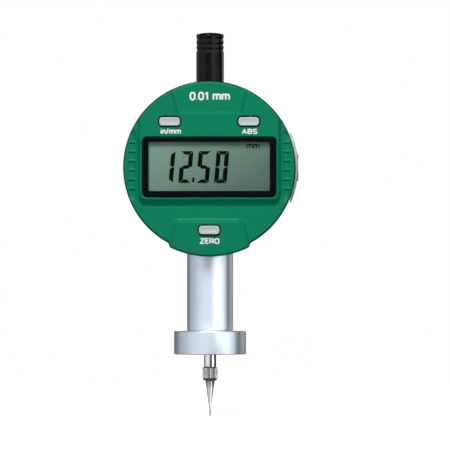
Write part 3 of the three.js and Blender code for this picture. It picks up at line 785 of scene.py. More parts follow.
def cover_feature_points():
    """Points laid along every bend of the cover's front."""
    found = []
    block = rounded([
        (-BLOCK_HALF_WIDTH, 20, 0),
        (-BLOCK_HALF_WIDTH, BLOCK_LOW, BLOCK_CORNER / 2),
        (BLOCK_HALF_WIDTH, BLOCK_LOW, BLOCK_CORNER / 2),
        (BLOCK_HALF_WIDTH, 20, 0),
    ], steps=8)
    for distance in bands(BLOCK_WALL, 0.2):
        across, up = offset_line(resampled(block, 0.5), distance).T
        below = np.minimum(up - BLOCK_LOW, 0)
        found.append(np.column_stack((across, up + below * (1 / BLOCK_FOOT - 1))))
    for distance in bands(ZERO_WALL, 0.18):
        found.append(offset_line(resampled(wedge_line(**ZERO), 0.5), -distance))
    for distance in bands(LABEL_WALL, 0.12, inside=LABEL_WALL):
        found.append(offset_line(resampled(wedge_line(**LABEL), 0.5), distance))
    for side in (-1, 1):
        levels = [height + d for height in RIB_HEIGHTS for d in RIB_LEVELS]
        levels += list(np.linspace(SCOOP["high"] - 0.5, SCOOP["high"] + 1.2, 5))
        levels += list(np.linspace(SCOOP["low"] - 1.2, SCOOP["low"] + 0.5, 5))
        for across in SCOOP_PLACES:
            found.append(np.array([(side * (SCOOP["x"] + across), z) for z in levels]))
    for size, edge in [(WINDOW, WINDOW_ROUND)] + [(slot_rectangle(b), SLOT_ROUND) for b in BUTTONS]:
        for inset, _ in edge_steps(edge, 4)[:-1]:
            outline = rectangle(*size)(-inset)
            found.append(np.array(resampled(outline + outline[:1], 0.6)))
    spots = np.arange(-30, 30.1, 0.9)
    grid = np.array([(x + 0.45 * (k % 2), z) for k, z in enumerate(spots) for x in spots])
    far = np.abs(block_distance(*grid.T) - BLOCK_WALL / 2) > BLOCK_WALL / 2 + 0.6
    far &= np.abs(wedge_distance(*grid.T, **ZERO) - ZERO_WALL / 2) > ZERO_WALL / 2 + 0.6
    far &= np.abs(wedge_distance(*grid.T, **LABEL) + LABEL_WALL / 2) > LABEL_WALL / 2 + 0.6
    far &= scoop_depth(*grid.T) < 0.001
    found.append(grid[far])
    return np.concatenate(found)


def cover_front(shape):
    """The height field of the cover's front: its triangles and its outlines' points."""
    sides = 420
    angles = [2 * math.pi * (i + 0.5) / sides for i in range(sides)]
    radii = [float(cover_outline_radius(np.array(a))) for a in angles]

    def rim(inset):
        return [((r - inset) * math.cos(a), (r - inset) * math.sin(a)) for a, r in zip(angles, radii)]

    holes = [rectangle(*WINDOW)(0)] + [rectangle(*slot_rectangle(b))(0) for b in BUTTONS]
    holes = [resampled(hole + hole[:1], 0.8)[:-1] for hole in holes]
    extra = cover_feature_points()
    edge = cover_outline_radius(np.arctan2(extra[:, 1], extra[:, 0]))
    inside = edge - np.hypot(*extra.T) > RIM_ROUND + 0.1
    inside &= rectangle_distance(*extra.T, *WINDOW) > 0.03
    for button in BUTTONS:
        inside &= rectangle_distance(*extra.T, *slot_rectangle(button)) > 0.03
    rims = [rim(inset) for inset, _ in edge_steps(RIM_ROUND, 7)[:-1]]
    extra = np.concatenate([extra[inside]] + [np.array(r) for r in rims])
    coords, triangles, rings = triangulated([rim(0)] + holes, extra)
    x, z = coords.T
    heights = cover_height(x, z)
    shape.row([(a, -h, HEAD_Z + b) for a, h, b in zip(x, heights, z)])
    shape.faces += triangles
    return coords, angles, radii, holes, rings


def front_cover():
    """The whole cover as one closed shell: front, skirt, hollow back and openings."""
    shape = Shape()
    coords, angles, radii, holes, rings = cover_front(shape)
    front_count = len(shape.faces)
    back = COVER_HIGH.y

    def ring(depth, inset=0.0, radius=None):
        at = [radius if radius else r - inset for r in radii]
        return shape.row([(r * math.cos(a), depth, HEAD_Z + r * math.sin(a)) for a, r in zip(angles, at)])

    rows = [
        rings[0],
        ring(back - 1.2),
        ring(back - 0.25),
        ring(back, 0.25),
        ring(back, radius=CAVITY_RADIUS + 0.2),
        ring(back - 0.2, radius=CAVITY_RADIUS),
    ]
    shape.skin(rows)
    circle_points = [(CAVITY_RADIUS * math.cos(a), CAVITY_RADIUS * math.sin(a)) for a in angles]
    inner, triangles, inner_rings = triangulated([circle_points] + holes)
    start = len(shape.points)
    shape.row([(x, -CEILING, HEAD_Z + z) for x, z in inner])
    shape.faces += [tuple(start + i for i in t) for t in triangles]
    shape.bridge(rows[-1], [start + i for i in inner_rings[0]])
    for near, far in zip(rings[1:], inner_rings[1:]):
        shape.bridge(near, [start + i for i in far])

    made = piece("green_front_cover", shape, "body", "cover_plastic", ["front_cover"], weighted=False)
    set_cover_normals(made.data, coords, front_count)


def set_cover_normals(mesh, coords, front_count):
    """The front's corners take the height field's own normals."""
    exact = cover_normals(coords[:, 0], coords[:, 1])
    normals = np.zeros((len(mesh.loops), 3))
    corner_points = np.zeros(len(mesh.loops), np.int32)
    mesh.loops.foreach_get("vertex_index", corner_points)
    for polygon in mesh.polygons[:front_count]:
        for corner in polygon.loop_indices:
            normals[corner] = exact[corner_points[corner]]
    mesh.normals_split_custom_set([tuple(n) for n in normals])


# ---------------------------------------------------------------- display


def display_bezel():
    """A black frame round the window, with softened edges."""
    outer = rectangle(*BEZEL)
    shape = panel(outer, [rectangle(*SIGHT)], BEZEL_LOW.y, BEZEL_HIGH.y, edge=0.25, hole_edge=0.12)
    piece("display_frame", shape, "body", "bezel_plastic", ["display_bezel"])


def window_lens():
    low, high = limits("window_lens")
    shape = panel(rectangle(high.x - low.x, high.z - low.z, 0.8), [], low.y, high.y, edge=0.08)
    piece("window_sheet", shape, "body", "clear_plastic", ["window_lens"])


# A digit: its size, the width of its level and upright bars, the gap between bars, and its slant.
DIGIT = {"width": 4.35, "height": 11.05, "level": 1.2, "upright": 1.5, "gap": 0.08, "slant": 0.086}
DIGIT_PITCH = 6.2
READING_PLACE = (-16.95, -5.5)
SEGMENTS = {"0": "abcdef", "1": "bc", "2": "abdeg", "5": "acdfg"}


def segment_outline(name):
    """One bar of a seven-bar digit, upright, from the digit's lower left corner."""
    w, h, t, u, g = (DIGIT[key] for key in ("width", "height", "level", "upright", "gap"))
    m = h / 2
    level = {
        "a": [(2 * g, h), (w - 2 * g, h), (w - u, h - t), (u, h - t)],
        "d": [(2 * g, 0), (u, t), (w - u, t), (w - 2 * g, 0)],
        "g": [
            (u / 2, m), (u, m + t / 2), (w - u, m + t / 2),
            (w - u / 2, m), (w - u, m - t / 2), (u, m - t / 2),
        ],
    }
    right = {
        "b": [(w, h - 2 * g), (w, m + 2 * g), (w - u / 2, m + g), (w - u, m + t / 2), (w - u, h - t - g)],
        "c": [(w, 2 * g), (w - u, t + g), (w - u, m - t / 2), (w - u / 2, m - g), (w, m - 2 * g)],
    }
    if name in level:
        return level[name]
    if name in right:
        return right[name]
    return [(w - x, z) for x, z in right["b" if name == "f" else "c"]]


def stamped(outlines, depth, thickness=0.03):
    """Flat outlines merged where they overlap, and made a thin layer that stands on a plane."""
    coords, triangles, centres, _ = delaunay(outlines)
    keep = np.zeros(len(triangles), bool)
    for outline in outlines:
        keep |= within(centres, list(outline))
    shape = Shape()
    near = shape.row([(x, depth - thickness, HEAD_Z + z) for x, z in coords])
    far = shape.row([(x, depth, HEAD_Z + z) for x, z in coords])
    sides = {}
    for triangle in triangles[keep]:
        corners = [int(i) for i in triangle]
        shape.faces.append(tuple(near[i] for i in corners))
        shape.faces.append(tuple(far[i] for i in corners[::-1]))
        for i, j in zip(corners, corners[1:] + corners[:1]):
            if (j, i) in sides:
                del sides[(j, i)]
            else:
                sides[(i, j)] = True
    shape.faces += [(near[j], near[i], far[i], far[j]) for i, j in sides]
    used = sorted({i for face in shape.faces for i in face})
    renumbered = {old: new for new, old in enumerate(used)}
    shape.points = [shape.points[i] for i in used]
    shape.faces = [tuple(renumbered[i] for i in face) for face in shape.faces]
    return shape


def display_digits():
    """The reading 12.50, its bars slanted, and its decimal point."""
    left, bottom = READING_PLACE

    def slanted(points, x):
        return [(x + px + DIGIT["slant"] * pz, bottom + pz) for px, pz in points]

    outlines = []
    for i, digit in enumerate("1250"):
        place = left + i * DIGIT_PITCH
        outlines += [slanted(segment_outline(name), place) for name in SEGMENTS[digit]]
    point = [(0, 0.3), (0.85, 0.3), (0.85, 1.9), (0.1, 1.9)]
    outlines.append(slanted(point, left + 2 * DIGIT_PITCH - 1.5))
    ink = MATERIALS["segment_ink"]
    shape = stamped(outlines, LCD_FRONT)
    piece("display_digits", shape, "body", "bezel_plastic", material=ink, weighted=False)


# Each letter: its width, then its strokes as corners (across, up, rounding), on a unit height.
LETTERS = {
    " ": (0.3, []),
    ".": (0.0, [[(0, 0, 0), (0, 0.06, 0)]]),
    "/": (0.4, [[(0, -0.06, 0), (0.4, 1.06, 0)]]),
    "0": (0.72, [[(0, 0.5, 0), (0, 1, 0.3), (0.72, 1, 0.3), (0.72, 0, 0.3), (0, 0, 0.3), (0, 0.5, 0)]]),
    "1": (0.34, [[(0, 0.76, 0), (0.34, 1, 0.01), (0.34, 0, 0)]]),
    "A": (1.0, [[(0, 0, 0), (0.5, 1, 0.02), (1, 0, 0)], [(0.2, 0.32, 0), (0.8, 0.32, 0)]]),
    "B": (0.85, [
        [(0.4, 0.52, 0), (0, 0.52, 0.01), (0, 1, 0.01), (0.8, 1, 0.2), (0.8, 0.52, 0.2), (0.4, 0.52, 0)],
        [(0.4, 0.52, 0), (0.85, 0.52, 0.22), (0.85, 0, 0.22), (0, 0, 0.01), (0, 0.6, 0)],
    ]),
    "E": (0.75, [[(0.75, 1, 0), (0, 1, 0.01), (0, 0, 0.01), (0.75, 0, 0)], [(0, 0.51, 0), (0.7, 0.51, 0)]]),
    "O": (0.95, [[(0, 0.5, 0), (0, 1, 0.32), (0.95, 1, 0.32), (0.95, 0, 0.32), (0, 0, 0.32), (0, 0.5, 0)]]),
    "R": (0.85, [
        [(0, 0, 0), (0, 1, 0.01), (0.83, 1, 0.22), (0.83, 0.47, 0.22), (0, 0.47, 0)],
        [(0.42, 0.47, 0), (0.85, 0, 0)],
    ]),
    "S": (0.85, [[
        (0.83, 1, 0), (0, 1, 0.22), (0, 0.5, 0.2),
        (0.85, 0.5, 0.2), (0.85, 0, 0.22), (0, 0, 0),
    ]]),
    "Z": (0.85, [[(0, 1, 0), (0.85, 1, 0.01), (0, 0, 0.01), (0.85, 0, 0)]]),
    "i": (0.0, [[(0, 0, 0), (0, 0.7, 0)], [(0, 0.98, 0), (0, 1.04, 0)]]),
    "m": (1.15, [
        [(0, 0, 0), (0, 0.72, 0.01), (0.575, 0.72, 0.16), (0.575, 0, 0)],
        [(0.4, 0.72, 0), (1.15, 0.72, 0.16), (1.15, 0, 0)],
    ]),
    "n": (0.62, [[(0, 0, 0), (0, 0.72, 0.01), (0.62, 0.72, 0.18), (0.62, 0, 0)]]),
}
LETTER_SPACE = 0.36


def stroke(line, thickness):
    """Outlines that together cover a line drawn with a pen of the given width."""
    half = thickness / 2
    outlines = []
    for (ax, az), (bx, bz) in zip(line, line[1:]):
        length = math.hypot(bx - ax, bz - az)
        nx, nz = half * (az - bz) / length, half * (bx - ax) / length
        outlines.append([(ax + nx, az + nz), (ax - nx, az - nz), (bx - nx, bz - nz), (bx + nx, bz + nz)])
    for x, z in line[1:-1]:
        turns = [2 * math.pi * k / 12 for k in range(12)]
        outlines.append([(x + half * math.cos(a), z + half * math.sin(a)) for a in turns])
    return outlines


def lettering(name, words, size, place, depth, thickness, material):
    """A short legend drawn in strokes, fitted to a width and height about a place on the head."""
    advance = [LETTERS[c][0] + LETTER_SPACE for c in words]
    natural = sum(advance) - LETTER_SPACE
    wide, high = size[0] - thickness, size[1] - thickness
    outlines, cursor = [], 0.0
    for letter, step in zip(words, advance):
        for corners in LETTERS[letter][1]:
            line = rounded(corners, steps=4)
            spots = [
                (place[0] + wide * ((x + cursor) / natural - 0.5), place[1] + high * (z - 0.5))
                for x, z in line
            ]
            outlines += stroke(spots, thickness)
        cursor += step
    piece(name, stamped(outlines, depth), "body", "button_plastic", material=material, weighted=False)


def legends():
    """The printed words, each fitted to a width and height about its centre on the head."""
    label, top, zero = LABEL_DEPTH - BLOCK_FACE, -BLOCK_FACE, -ZERO_FACE
    printed = (
        ("legend_resolution", "0.01 mm", (14.0, 3.0), (0.2, 24.6), label, 0.62, "legend_paint"),
        ("legend_in_mm", "in/mm", (7.1, 2.0), (-13.3, 12.4), top, 0.45, "legend_paint"),
        ("legend_abs", "ABS", (5.45, 1.85), (14.0, 12.35), top, 0.42, "legend_paint"),
        ("legend_zero", "ZERO", (6.85, 2.05), (0.15, -25.6), zero, 0.46, "legend_paint"),
        ("display_unit", "mm", (4.6, 2.2), (15.15, 7.4), LCD_FRONT, 0.4, "segment_ink"),
    )
    for name, words, size, place, depth, thickness, paint in printed:
        lettering(name, words, size, place, depth, thickness, MATERIALS[paint])


# ---------------------------------------------------------------- buttons


def button(node_name):
    """A key cap with softened edges and a shallow dish, on its captive flange."""
    low, high = limits(node_name)
    x, z = BUTTONS[node_name]
    outline = rectangle(*BUTTON_SIZE, x, z)
    flange = rectangle(high.x - low.x, high.z - low.z, 1.2, x, z)
    rows = [(outline, 1.35, 0.16), (outline, 0.95, 0.14), (outline, 0.62, 0.03)]
    rows += [(outline, inset, drop) for inset, drop in edge_steps(0.25)]
    rows += [(outline, 0.0, high.y - 0.7 - low.y), (flange, 0.0, high.y - 0.7 - low.y)]
    rows += [(flange, 0.0, high.y - low.y)]
    shape = Shape()
    rings = [
        shape.row([(a, low.y + drop, HEAD_Z + b) for a, b in edge(inset)])
        for edge, inset, drop in rows
    ]
    shape.tube(rings)
    piece(node_name + "_cap", shape, node_name, "button_plastic", [node_name])


# ---------------------------------------------------------------- rear case and back


FLAT_TOP = CASE_HIGH.z - HEAD_Z
FLAT_BOTTOM = HEAD_Z - CASE_LOW.z


def flatted_circle(radius):
    """A round outline with the case's flats at its top and bottom."""

    def radius_at(angle):
        flat = FLAT_TOP if math.sin(angle) > 0 else FLAT_BOTTOM
        return min(radius, flat / max(abs(math.sin(angle)), 1e-6))

    return polar(radius_at, 360)


def side_pad():
    """The curved pad that carries the data port, a little proud of the round case."""
    radius, half, half_y = PAD["radius"], PAD["half"], PAD["half_y"]
    reach = math.asin(half / radius)
    arc = [-reach + 2 * reach * i / 40 for i in range(41)]
    corners = [(PAD["root"], -half - 0.3)]
    corners += [(radius * math.cos(a), radius * math.sin(a)) for a in arc]
    corners += [(PAD["root"], half + 0.3)]
    edge = [(0.25, 0), (0.07, 0.07), (0, 0.25)]
    rows = [(inset, -half_y + drop) for inset, drop in edge]
    rows += [(inset, half_y - drop) for inset, drop in reversed(edge)]
    shape = Shape()
    shape.tube([shape.row([(x - inset, y, HEAD_Z + z) for x, z in corners]) for inset, y in rows])
    return shape


def side_block(x0, x1, half_y, half_z, corner, edge):
    """A rounded block on the case's side, between two distances to the right of the axis."""
    shape = panel(rectangle(2 * half_y, 2 * half_z, corner), [], -x1, -x0, edge=edge, back_edge=0.02)
    return shape.turned(lambda p: (-p[1], p[0], p[2]))


def gap_shade_ring(node_name):
    """A black ring of painted shade that fills the gap round a key, a little below the cover's face: it
    stands in for the shadow in the gap.
    """
    x, z = BUTTONS[node_name]
    width, height, corner = BUTTON_SIZE
    key = rectangle(width + SHADE_RING_OVERLAP, height + SHADE_RING_OVERLAP, corner, x, z)
    gap = rectangle(*slot_rectangle(node_name))
    shape = panel(gap, [key], SHADE_RING_FRONT, SHADE_RING_BACK, edge=0.02)
    piece(node_name + "_seal", shape, "body", "seal_rubber")


def upright_bore(radius, low, high):
    """A closed cylinder on the spindle's axis, between two heights on the head."""
    foot, top = HEAD_Z + low, HEAD_Z + high
    return lathe([(0, foot), (radius, foot), (radius, top), (0, top)], 48)


def rear_case():
    """The case's ring with its pad, the port's recess and socket, and the bores for bush and stem."""
    inner = circle(CAVITY_RADIUS, 180)
    shape = panel(flatted_circle(CASE_RADIUS), [inner], CASE_LOW.y, CASE_HIGH.y, edge=0.35, hole_edge=0.1)
    made = as_object("grey_rear_case", shape)
    cut(made, side_pad(), operation="UNION")
    lid_half_y = (PORT_HIGH.y - PORT_LOW.y) / 2 + LID_GAP
    lid_half_z = (PORT_HIGH.z - PORT_LOW.z) / 2 + LID_GAP
    cut(made, side_block(PORT_HIGH.x - 1.5, 33, lid_half_y, lid_half_z, 0.9, 0.02))
    cut(made, side_block(24, 33, SOCKET["half_y"], SOCKET["half_z"], 0.5, 0.02))
    cut(made, upright_bore(BUSH_BORE, 20, 33), upright_bore(STEM_BORE, -33, -20))
    finished(made, "body", "case_plastic", ["rear_case"])


def recess(back, radius, floor, lip):
    """A round recess's profile; lip says how much wider and how deep its mouth is."""
    above = back + 0.1
    return [(0, floor), (radius, floor), (radius, back - lip[1]), (radius + lip[0], above), (0, above)]


def back_plate():
    """The flat back with its battery opening, its screw recesses and a shallow ring round the edge."""
    back = PLATE_HIGH.y
    holes = [circle(CELL_OPENING, 96, *LID_PLACE)]
    holes += [circle(1.1, 24, x, z) for x, z in BACK_SCREWS.values()]
    outline = flatted_circle(CASE_RADIUS - 0.5)
    made = as_object("grey_back_plate", panel(outline, holes, PLATE_LOW.y, back, edge=0.1, back_edge=0.9))
    cut(made, lathe_y(recess(back, **LID_RECESS), *LID_PLACE, 96))
    for x, z in BACK_SCREWS.values():
        cut(made, lathe_y(recess(back, **SCREW_RECESS), x, z, 40))
    groove = [(26.6, back - 0.3), (27.2, back - 0.3), (27.35, back + 0.1), (26.45, back + 0.1)]
    cut(made, lathe_y(groove, 0, 0, 180, closed=True))
    finished(made, "body", "plate_plastic", ["back_plate"])


def battery_cover():
    """A disc with a coin slot and a turned step, over the plug that carries the seal."""
    front, back = LID_LOW.y, LID_HIGH.y
    profile = rounded([
        (0, front, 0),
        (8.9, front, 0.2),
        (8.9, 9.5, 0),
        (LID_RADIUS, 9.5, 0.05),
        (LID_RADIUS, back, 0.3),
        (9.2, back, 0.08),
        (9.0, back - 0.25, 0.08),
        (0, back - 0.25, 0),
    ])
    made = as_object("battery_lid", lathe_y(profile, *LID_PLACE, 120))
    cut(made, panel(rectangle(*COIN_SLOT, *LID_PLACE), [], back - 1.0, back + 0.5, edge=0.02))
    finished(made, "battery_cover", "lid_plastic", ["battery_cover"])


def back_screw(index, name, place):
    """A slotted screw with a chamfered head, sunk in the back plate."""
    x, z = place
    low, high = limits(name)
    top = high.y
    profile = rounded([
        (0, low.y, 0),
        (0.7, low.y, 0.05),
        (0.95, low.y + 0.3, 0.05),
        (0.95, 9.55, 0),
        (1.85, 9.55, 0.05),
        (1.85, top, 0.22),
        (0, top, 0),
    ], steps=4)
    made = as_object(f"slotted_{name}", lathe_y(profile, x, z, 40))
    spin = 0.6 * index
    across, up = math.cos(spin), math.sin(spin)
    blade = box(-2.4, 2.4, top - 0.45, top + 0.5, -0.25, 0.25)
    blade.turned(lambda p: (x + p[0] * across - p[2] * up, p[1], HEAD_Z + z + p[0] * up + p[2] * across))
    cut(made, blade)
    finished(made, "body", "screw_steel", [name])


def data_port_cover():
    """A rubber lid with three finger ridges, on the plug that fills the socket."""
    half_y = (PORT_HIGH.y - PORT_LOW.y) / 2
    half_z = (PORT_HIGH.z - PORT_LOW.z) / 2
    made = as_object("port_lid", side_block(29.3, PORT_HIGH.x - 0.15, half_y, half_z, 0.8, 0.3))
    cut(made, side_block(PORT_LOW.x, 29.6, 1.6, 3.4, 0.3, 0.1), operation="UNION")
    ridges = []
    for i in range(RIDGES["count"]):
        ridge = side_block(PORT_HIGH.x - 0.5, PORT_HIGH.x, 1.9, 0.28, 0.25, 0.14)
        drop = RIDGES["middle"] + RIDGES["pitch"] * (i - 1)
        ridges.append(ridge.turned(lambda p, drop=drop: (p[0], p[1], p[2] - drop)))
    cut(made, *ridges, operation="UNION")
    finished(made, "data_port_cover", "port_rubber", ["data_port_cover"])


# ---------------------------------------------------------------- spindle line


def dust_cap():
    """A black cap with three rounded grip ridges below its domed top."""
    radius, top, low = CAP_HIGH.x, CAP_HIGH.z, CAP_LOW.z
    bore, roof = 3.6, top - 1.5
    profile = [(0, top, 0), (2.4, top - 0.12, 0.5)]
    profile += [(radius - 0.3, top - 0.55, 0.2), (radius, top - 1.0, 0.3)]
    for height in GRIP_GROOVES:
        profile += [(radius, height + 0.75, 0.35), (radius - 0.27, height, 0.5)]
    profile += [(radius, 104.9, 0.6), (radius, low, 0.12)]
    profile += [(bore, low, 0.12), (bore, roof, 0.3), (0, roof, 0)]
    piece("black_dust_cap", lathe(rounded(profile)), "dust_cap", "cap_plastic", ["dust_cap"])


def spindle():
    """A polished rod with a chamfer at each end and the blind hole for the contact point."""
    radius = SPINDLE_HIGH.x
    low, high = SPINDLE_LOW.z, SPINDLE_HIGH.z
    profile = rounded([
        (0, 1.6, 0),
        (1.35, 1.6, 0),
        (1.35, low, 0.05),
        (radius - 0.2, low, 0.05),
        (radius, low + 0.2, 0.1),
        (radius, high - 0.4, 0.2),
        (radius - 0.4, high, 0.1),
        (0, high, 0),
    ])
    piece("polished_spindle", lathe(profile, 96), "spindle", "spindle_steel", ["spindle"])


def contact_point():
    """A needle on a collar whose fine straight knurl is cut into its rim."""
    tip, low, high = POINT_LOW.z, -9.2, -4.52
    rim, root, stud = POINT_HIGH.x, 1.6, 1.2
    flutes, depth = 34, 0.17
    waves = [0.0, 0.25, 1.0, 0.25]  # how deep the knurl is at each point of a flute
    sides = flutes * len(waves)
    profile = [(0, tip, 0), (0.12, tip + 0.04, 0), (0.19, tip + 0.2, 0)]
    profile += [(root * t, tip + t * (low - tip), 0) for t in (0.28, 0.5, 0.75, 0.985)]
    profile += [(root + 0.05, low, 0), (rim - 0.5, low + 0.05, 0), (rim - 0.42, low + 0.12, 0)]
    profile += [(rim - 0.1, low + 0.75, 1), (rim, low + 0.9, 1), (rim, high - 0.3, 1)]
    profile += [(rim - 0.12, high - 0.1, 1), (rim - 0.3, high, 0)]
    profile += [(stud, high, 0), (stud, 0.9, 0), (stud - 0.1, 1.0, 0), (0, 1.0, 0)]
    shape = Shape()
    rings = []
    for radius, z, knurled in profile:
        points = []
        for i in range(sides if radius else 1):
            r = radius - depth * knurled * waves[i % len(waves)]
            angle = 2 * math.pi * i / sides
            points.append((r * math.cos(angle), r * math.sin(angle), z))
        rings.append(shape.row(points))
    shape.skin(rings)
    piece("needle_point", shape, "spindle", "point_steel", ["contact_point"], sharp=24)


def depth_base():
    """The turned disc and sleeve, with softened edges and two threaded holes at the back."""
    disc, top = BASE_HIGH.x, BASE_HIGH.z
    profile = rounded([
        (SPINDLE_HOLE, 0, 0.2),
        (disc, 0, 0.25),
        (disc, DISC_HEIGHT, 0.18),
        (UNDERCUT_RADIUS, DISC_HEIGHT, 0.05),
        (UNDERCUT_RADIUS, 8.3, 0.05),
        (SLEEVE_RADIUS, 8.4, 0.05),
        (SLEEVE_RADIUS, top, 0.3),
        (STEM_BORE, top, 0.2),
        (STEM_BORE, 12.5, 0.1),
        (SPINDLE_HOLE, 12.5, 0.1),
    ], closed=True)
    made = as_object("turned_depth_base", lathe(profile, 192, closed=True))
    for z in SET_SCREWS.values():
        cut(made, lathe_y([(0, 3), (1.55, 3), (1.55, 7.55), (1.9, 8.3), (0, 8.3)], 0, z, 40))
    finished(made, "body", "base_steel", ["depth_base"])


def set_screw(name, z):
    """A headless screw with a six-sided socket."""
    low, high = limits(name)
    start, socket = low.y, circle(0.8, 6, 0, z)
    shape = panel(circle(1.4, 40, 0, z), [socket], start + 1.2, high.y, edge=0.15, hole_edge=0.05)
    made = as_object(f"socket_{name}", shape)
    point = [(0, start), (1.1, start), (1.4, start + 0.3), (1.4, start + 1.4), (0, start + 1.4)]
    cut(made, lathe_y(point, 0, z, 40), operation="UNION")
    finished(made, "body", "screw_steel", [name])


def return_spring():
    """A wound wire; the real spring closes up as the spindle rises, but here it is built at one length."""
    low, high = limits("return_spring")
    wire, turns, sides = 0.25, 7, 10
    radius = high.x - wire
    steps = turns * 28
    shape = Shape()
    rings = []
    for k in range(steps + 1):
        angle = 2 * math.pi * turns * k / steps
        z = low.z + wire + (high.z - low.z - 2 * wire) * k / steps
        points = []
        for i in range(sides):
            around = 2 * math.pi * i / sides
            r = radius + wire * math.cos(around)
            points.append((r * math.cos(angle), r * math.sin(angle), z + wire * math.sin(around)))
        rings.append(shape.row(points))
    shape.tube(rings)
    made = piece("wound_return_spring", shape, "body", "spring_steel", ["return_spring"], weighted=False)
    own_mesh(made)


# ---------------------------------------------------------------- everything together


def dress_cad_nodes():
    """Every CAD node takes its slot's procedural material."""
    for part in frame["record"]["subparts"]:
        target = frame["nodes"][part["node"]]
        for holder in target.material_slots:
            holder.material = MATERIALS[part["material_slot"]]


def build():
    dress_cad_nodes()
    front_cover()
    display_bezel()
    window_lens()
    display_digits()
    legends()
    for name in BUTTONS:
        button(name)
        # each key's black ring is painted shade in the gap round it
        gap_shade_ring(name)
    rear_case()
    back_plate()
    battery_cover()
    for index, (name, place) in enumerate(BACK_SCREWS.items(), 1):
        back_screw(index, name, place)
    data_port_cover()
    dust_cap()
    spindle()
    contact_point()
    depth_base()
    for name, z in SET_SCREWS.items():
        set_screw(name, z)
    return_spring()


# ---------------------------------------------------------------- stage, light and camera


def direction(azimuth, elevation):
    """A unit vector: azimuth 0 is straight in front of the head, and grows to the reader's right."""
    a, e = math.radians(azimuth), math.radians(elevation)
    return Vector((math.sin(a) * math.cos(e), -math.cos(a) * math.cos(e), math.sin(e)))


def softbox(name, azimuth, elevation, distance, size, radiance, seen="all"):
    """A flat panel of soft light that faces the object; distances and sizes in metres."""
    data = bpy.data.lights.new(name, "AREA")
    data.shape = "RECTANGLE"
    data.size, data.size_y = size
    data.energy = radiance * math.pi * size[0] * size[1]
    lamp = bpy.data.objects.new(name, data)
    bpy.context.scene.collection.objects.link(lamp)
    lamp.location = LIT_PLACE + direction(azimuth, elevation) * distance
    lamp.rotation_euler = (LIT_PLACE - lamp.location).to_track_quat("-Z", "Y").to_euler()
    lamp.visible_camera = False
    lamp.visible_diffuse = seen != "gloss"
    lamp.visible_glossy = seen != "fill"


LIT_PLACE = Vector((0, 0, 0.05))

# Lamps: azimuth, elevation, distance, size, radiance, and whether only gloss or only fill sees it.
LAMPS = (
    ("key", -8, 48, 1.1, (0.45, 0.45), 14.5, "all"),
    ("sparkle", -20, 56, 1.1, (0.3, 0.3), 24.0, "gloss"),
    ("front_fill", 5, 5, 1.5, (0.9, 0.9), 1.8, "fill"),
    ("low_right", 36, -24, 1.0, (0.5, 0.35), 1.9, "gloss"),
    ("low_left", -38, -24, 1.0, (1.1, 0.35), 0.6, "gloss"),
    ("back_fill", 170, 15, 1.1, (0.7, 0.6), 4.0, "fill"),
)

# Black cards: start and end in degrees, low and high in millimetres, and distance in metres.
CARDS = (
    ("card_cap_left", -40, 2, 106, 150, 0.5),
    ("card_cap_right", 42, 100, 106, 150, 0.5),
    ("card_spindle_front", 2, 38, -14, -0.4, 0.035),
    ("card_spindle_side", 80, 146, -14, -0.4, 0.035),
)

# Panels in a ring round the object, for its reflections only: where each starts and ends, in
# degrees to the reader's right of the front, how bright it is, and its height in metres.
RING = (
    (-150, -118, 0.45, 0.4),
    (-118, -92, 0.6, 1.3),
    (-92, -68, 0.75, 1.3),
    (-68, -22, 1.0, 1.3),
    (-22, -6, 0.66, 1.3),
    (-6, 12, 0.66, 1.3),
    (12, 24, 1.25, 1.3),
    (24, 70, 2.0, 1.3),
    (70, 88, 1.5, 1.3),
    (118, 146, 1.2, 0.5),
)


def reflection_ring():
    distance, elevation = 1.0, 12
    for i, (start, end, radiance, height) in enumerate(RING):
        width = 2 * distance * math.tan(math.radians(end - start) / 2)
        middle = (start + end) / 2
        softbox(f"ring_{i}", middle, elevation, distance, (width, height), radiance, "gloss")


def black_card(name, start, end, low, high, distance):
    """A black card that only reflections see, as a studio uses to draw dark lines on metal."""
    corners = [direction(angle, 0) * distance for angle in (start, end)]
    points = [(c.x / MM, c.y / MM, z) for c, z in zip(corners + corners[::-1], (low, low, high, high))]
    shape = Shape()
    shape.faces.append(tuple(shape.row(points)))
    card = as_object(name, shape)
    card.data.materials.append(shader(name, (0.01, 0.01, 0.01), 0.9)[0])
    card.visible_camera = False
    card.visible_diffuse = False


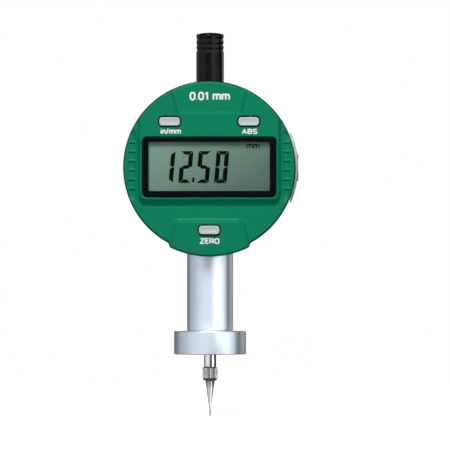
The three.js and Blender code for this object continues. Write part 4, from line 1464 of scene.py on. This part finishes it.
def stage():
    """A round pale floor just under the needle. Its rim fades into the white of the background."""
    floor = POINT_LOW.z - 0.5
    shape = Shape()
    shape.faces.append(tuple(shape.row([(700 * x, 700 * y, floor) for x, y in circle(1.0, 96)()])))
    sheet = as_object("studio_floor", shape)
    material, tree, surface = shader("studio_paper", (0.93, 0.93, 0.935), 0.9, Specular_IOR_Level=0.1)
    surface.inputs["Emission Color"].default_value = (1, 1, 1, 1)
    surface.inputs["Emission Strength"].default_value = 0.75
    reach = node(tree, "ShaderNodeVectorMath", {0: object_place(tree)}, operation="LENGTH")
    fade = ranged(tree, reach.outputs["Value"], 0.25, 0.68, 1.0, 0.0, interpolation_type="SMOOTHSTEP")
    tree.links.new(fade, surface.inputs["Alpha"])
    sheet.data.materials.append(material)
    sheet.visible_diffuse = False
    sheet.visible_glossy = False
    sheet.visible_shadow = False


def studio():
    """Lamps, reflection panels and cards, and a world that is white to the camera and dim to light."""
    for lamp in LAMPS:
        softbox(*lamp)
    reflection_ring()
    for card in CARDS:
        black_card(*card)
    world = bpy.data.worlds.new("studio")
    world.use_nodes = True
    tree = world.node_tree
    background = tree.nodes["Background"]
    background.inputs["Color"].default_value = (1, 1, 1, 1)
    seen = node(tree, "ShaderNodeLightPath").outputs["Is Camera Ray"]
    tree.links.new(ranged(tree, seen, 0.0, 1.0, 0.08, 1.0), background.inputs["Strength"])
    bpy.context.scene.world = world


CAMERA_DISTANCE = 2.61  # metres
CAMERA_AIM = (5.2, 0, 44.95)  # millimetres
CAMERA_AZIMUTH = 1.2
LENS = 600


def camera():
    """A long lens level with the object, a little to its right."""
    aim = Vector(CAMERA_AIM) * MM
    data = bpy.data.cameras.new("camera")
    data.sensor_width = 36
    data.lens = LENS
    data.clip_end = 20
    made = bpy.data.objects.new("camera", data)
    bpy.context.scene.collection.objects.link(made)
    away = direction(CAMERA_AZIMUTH, 0)
    made.location = aim + away * CAMERA_DISTANCE
    made.rotation_euler = (-away).to_track_quat("-Z", "Y").to_euler()
    bpy.context.scene.camera = made


build()
stage()
studio()
camera()
bpy.context.scene.view_settings.view_transform = "Standard"
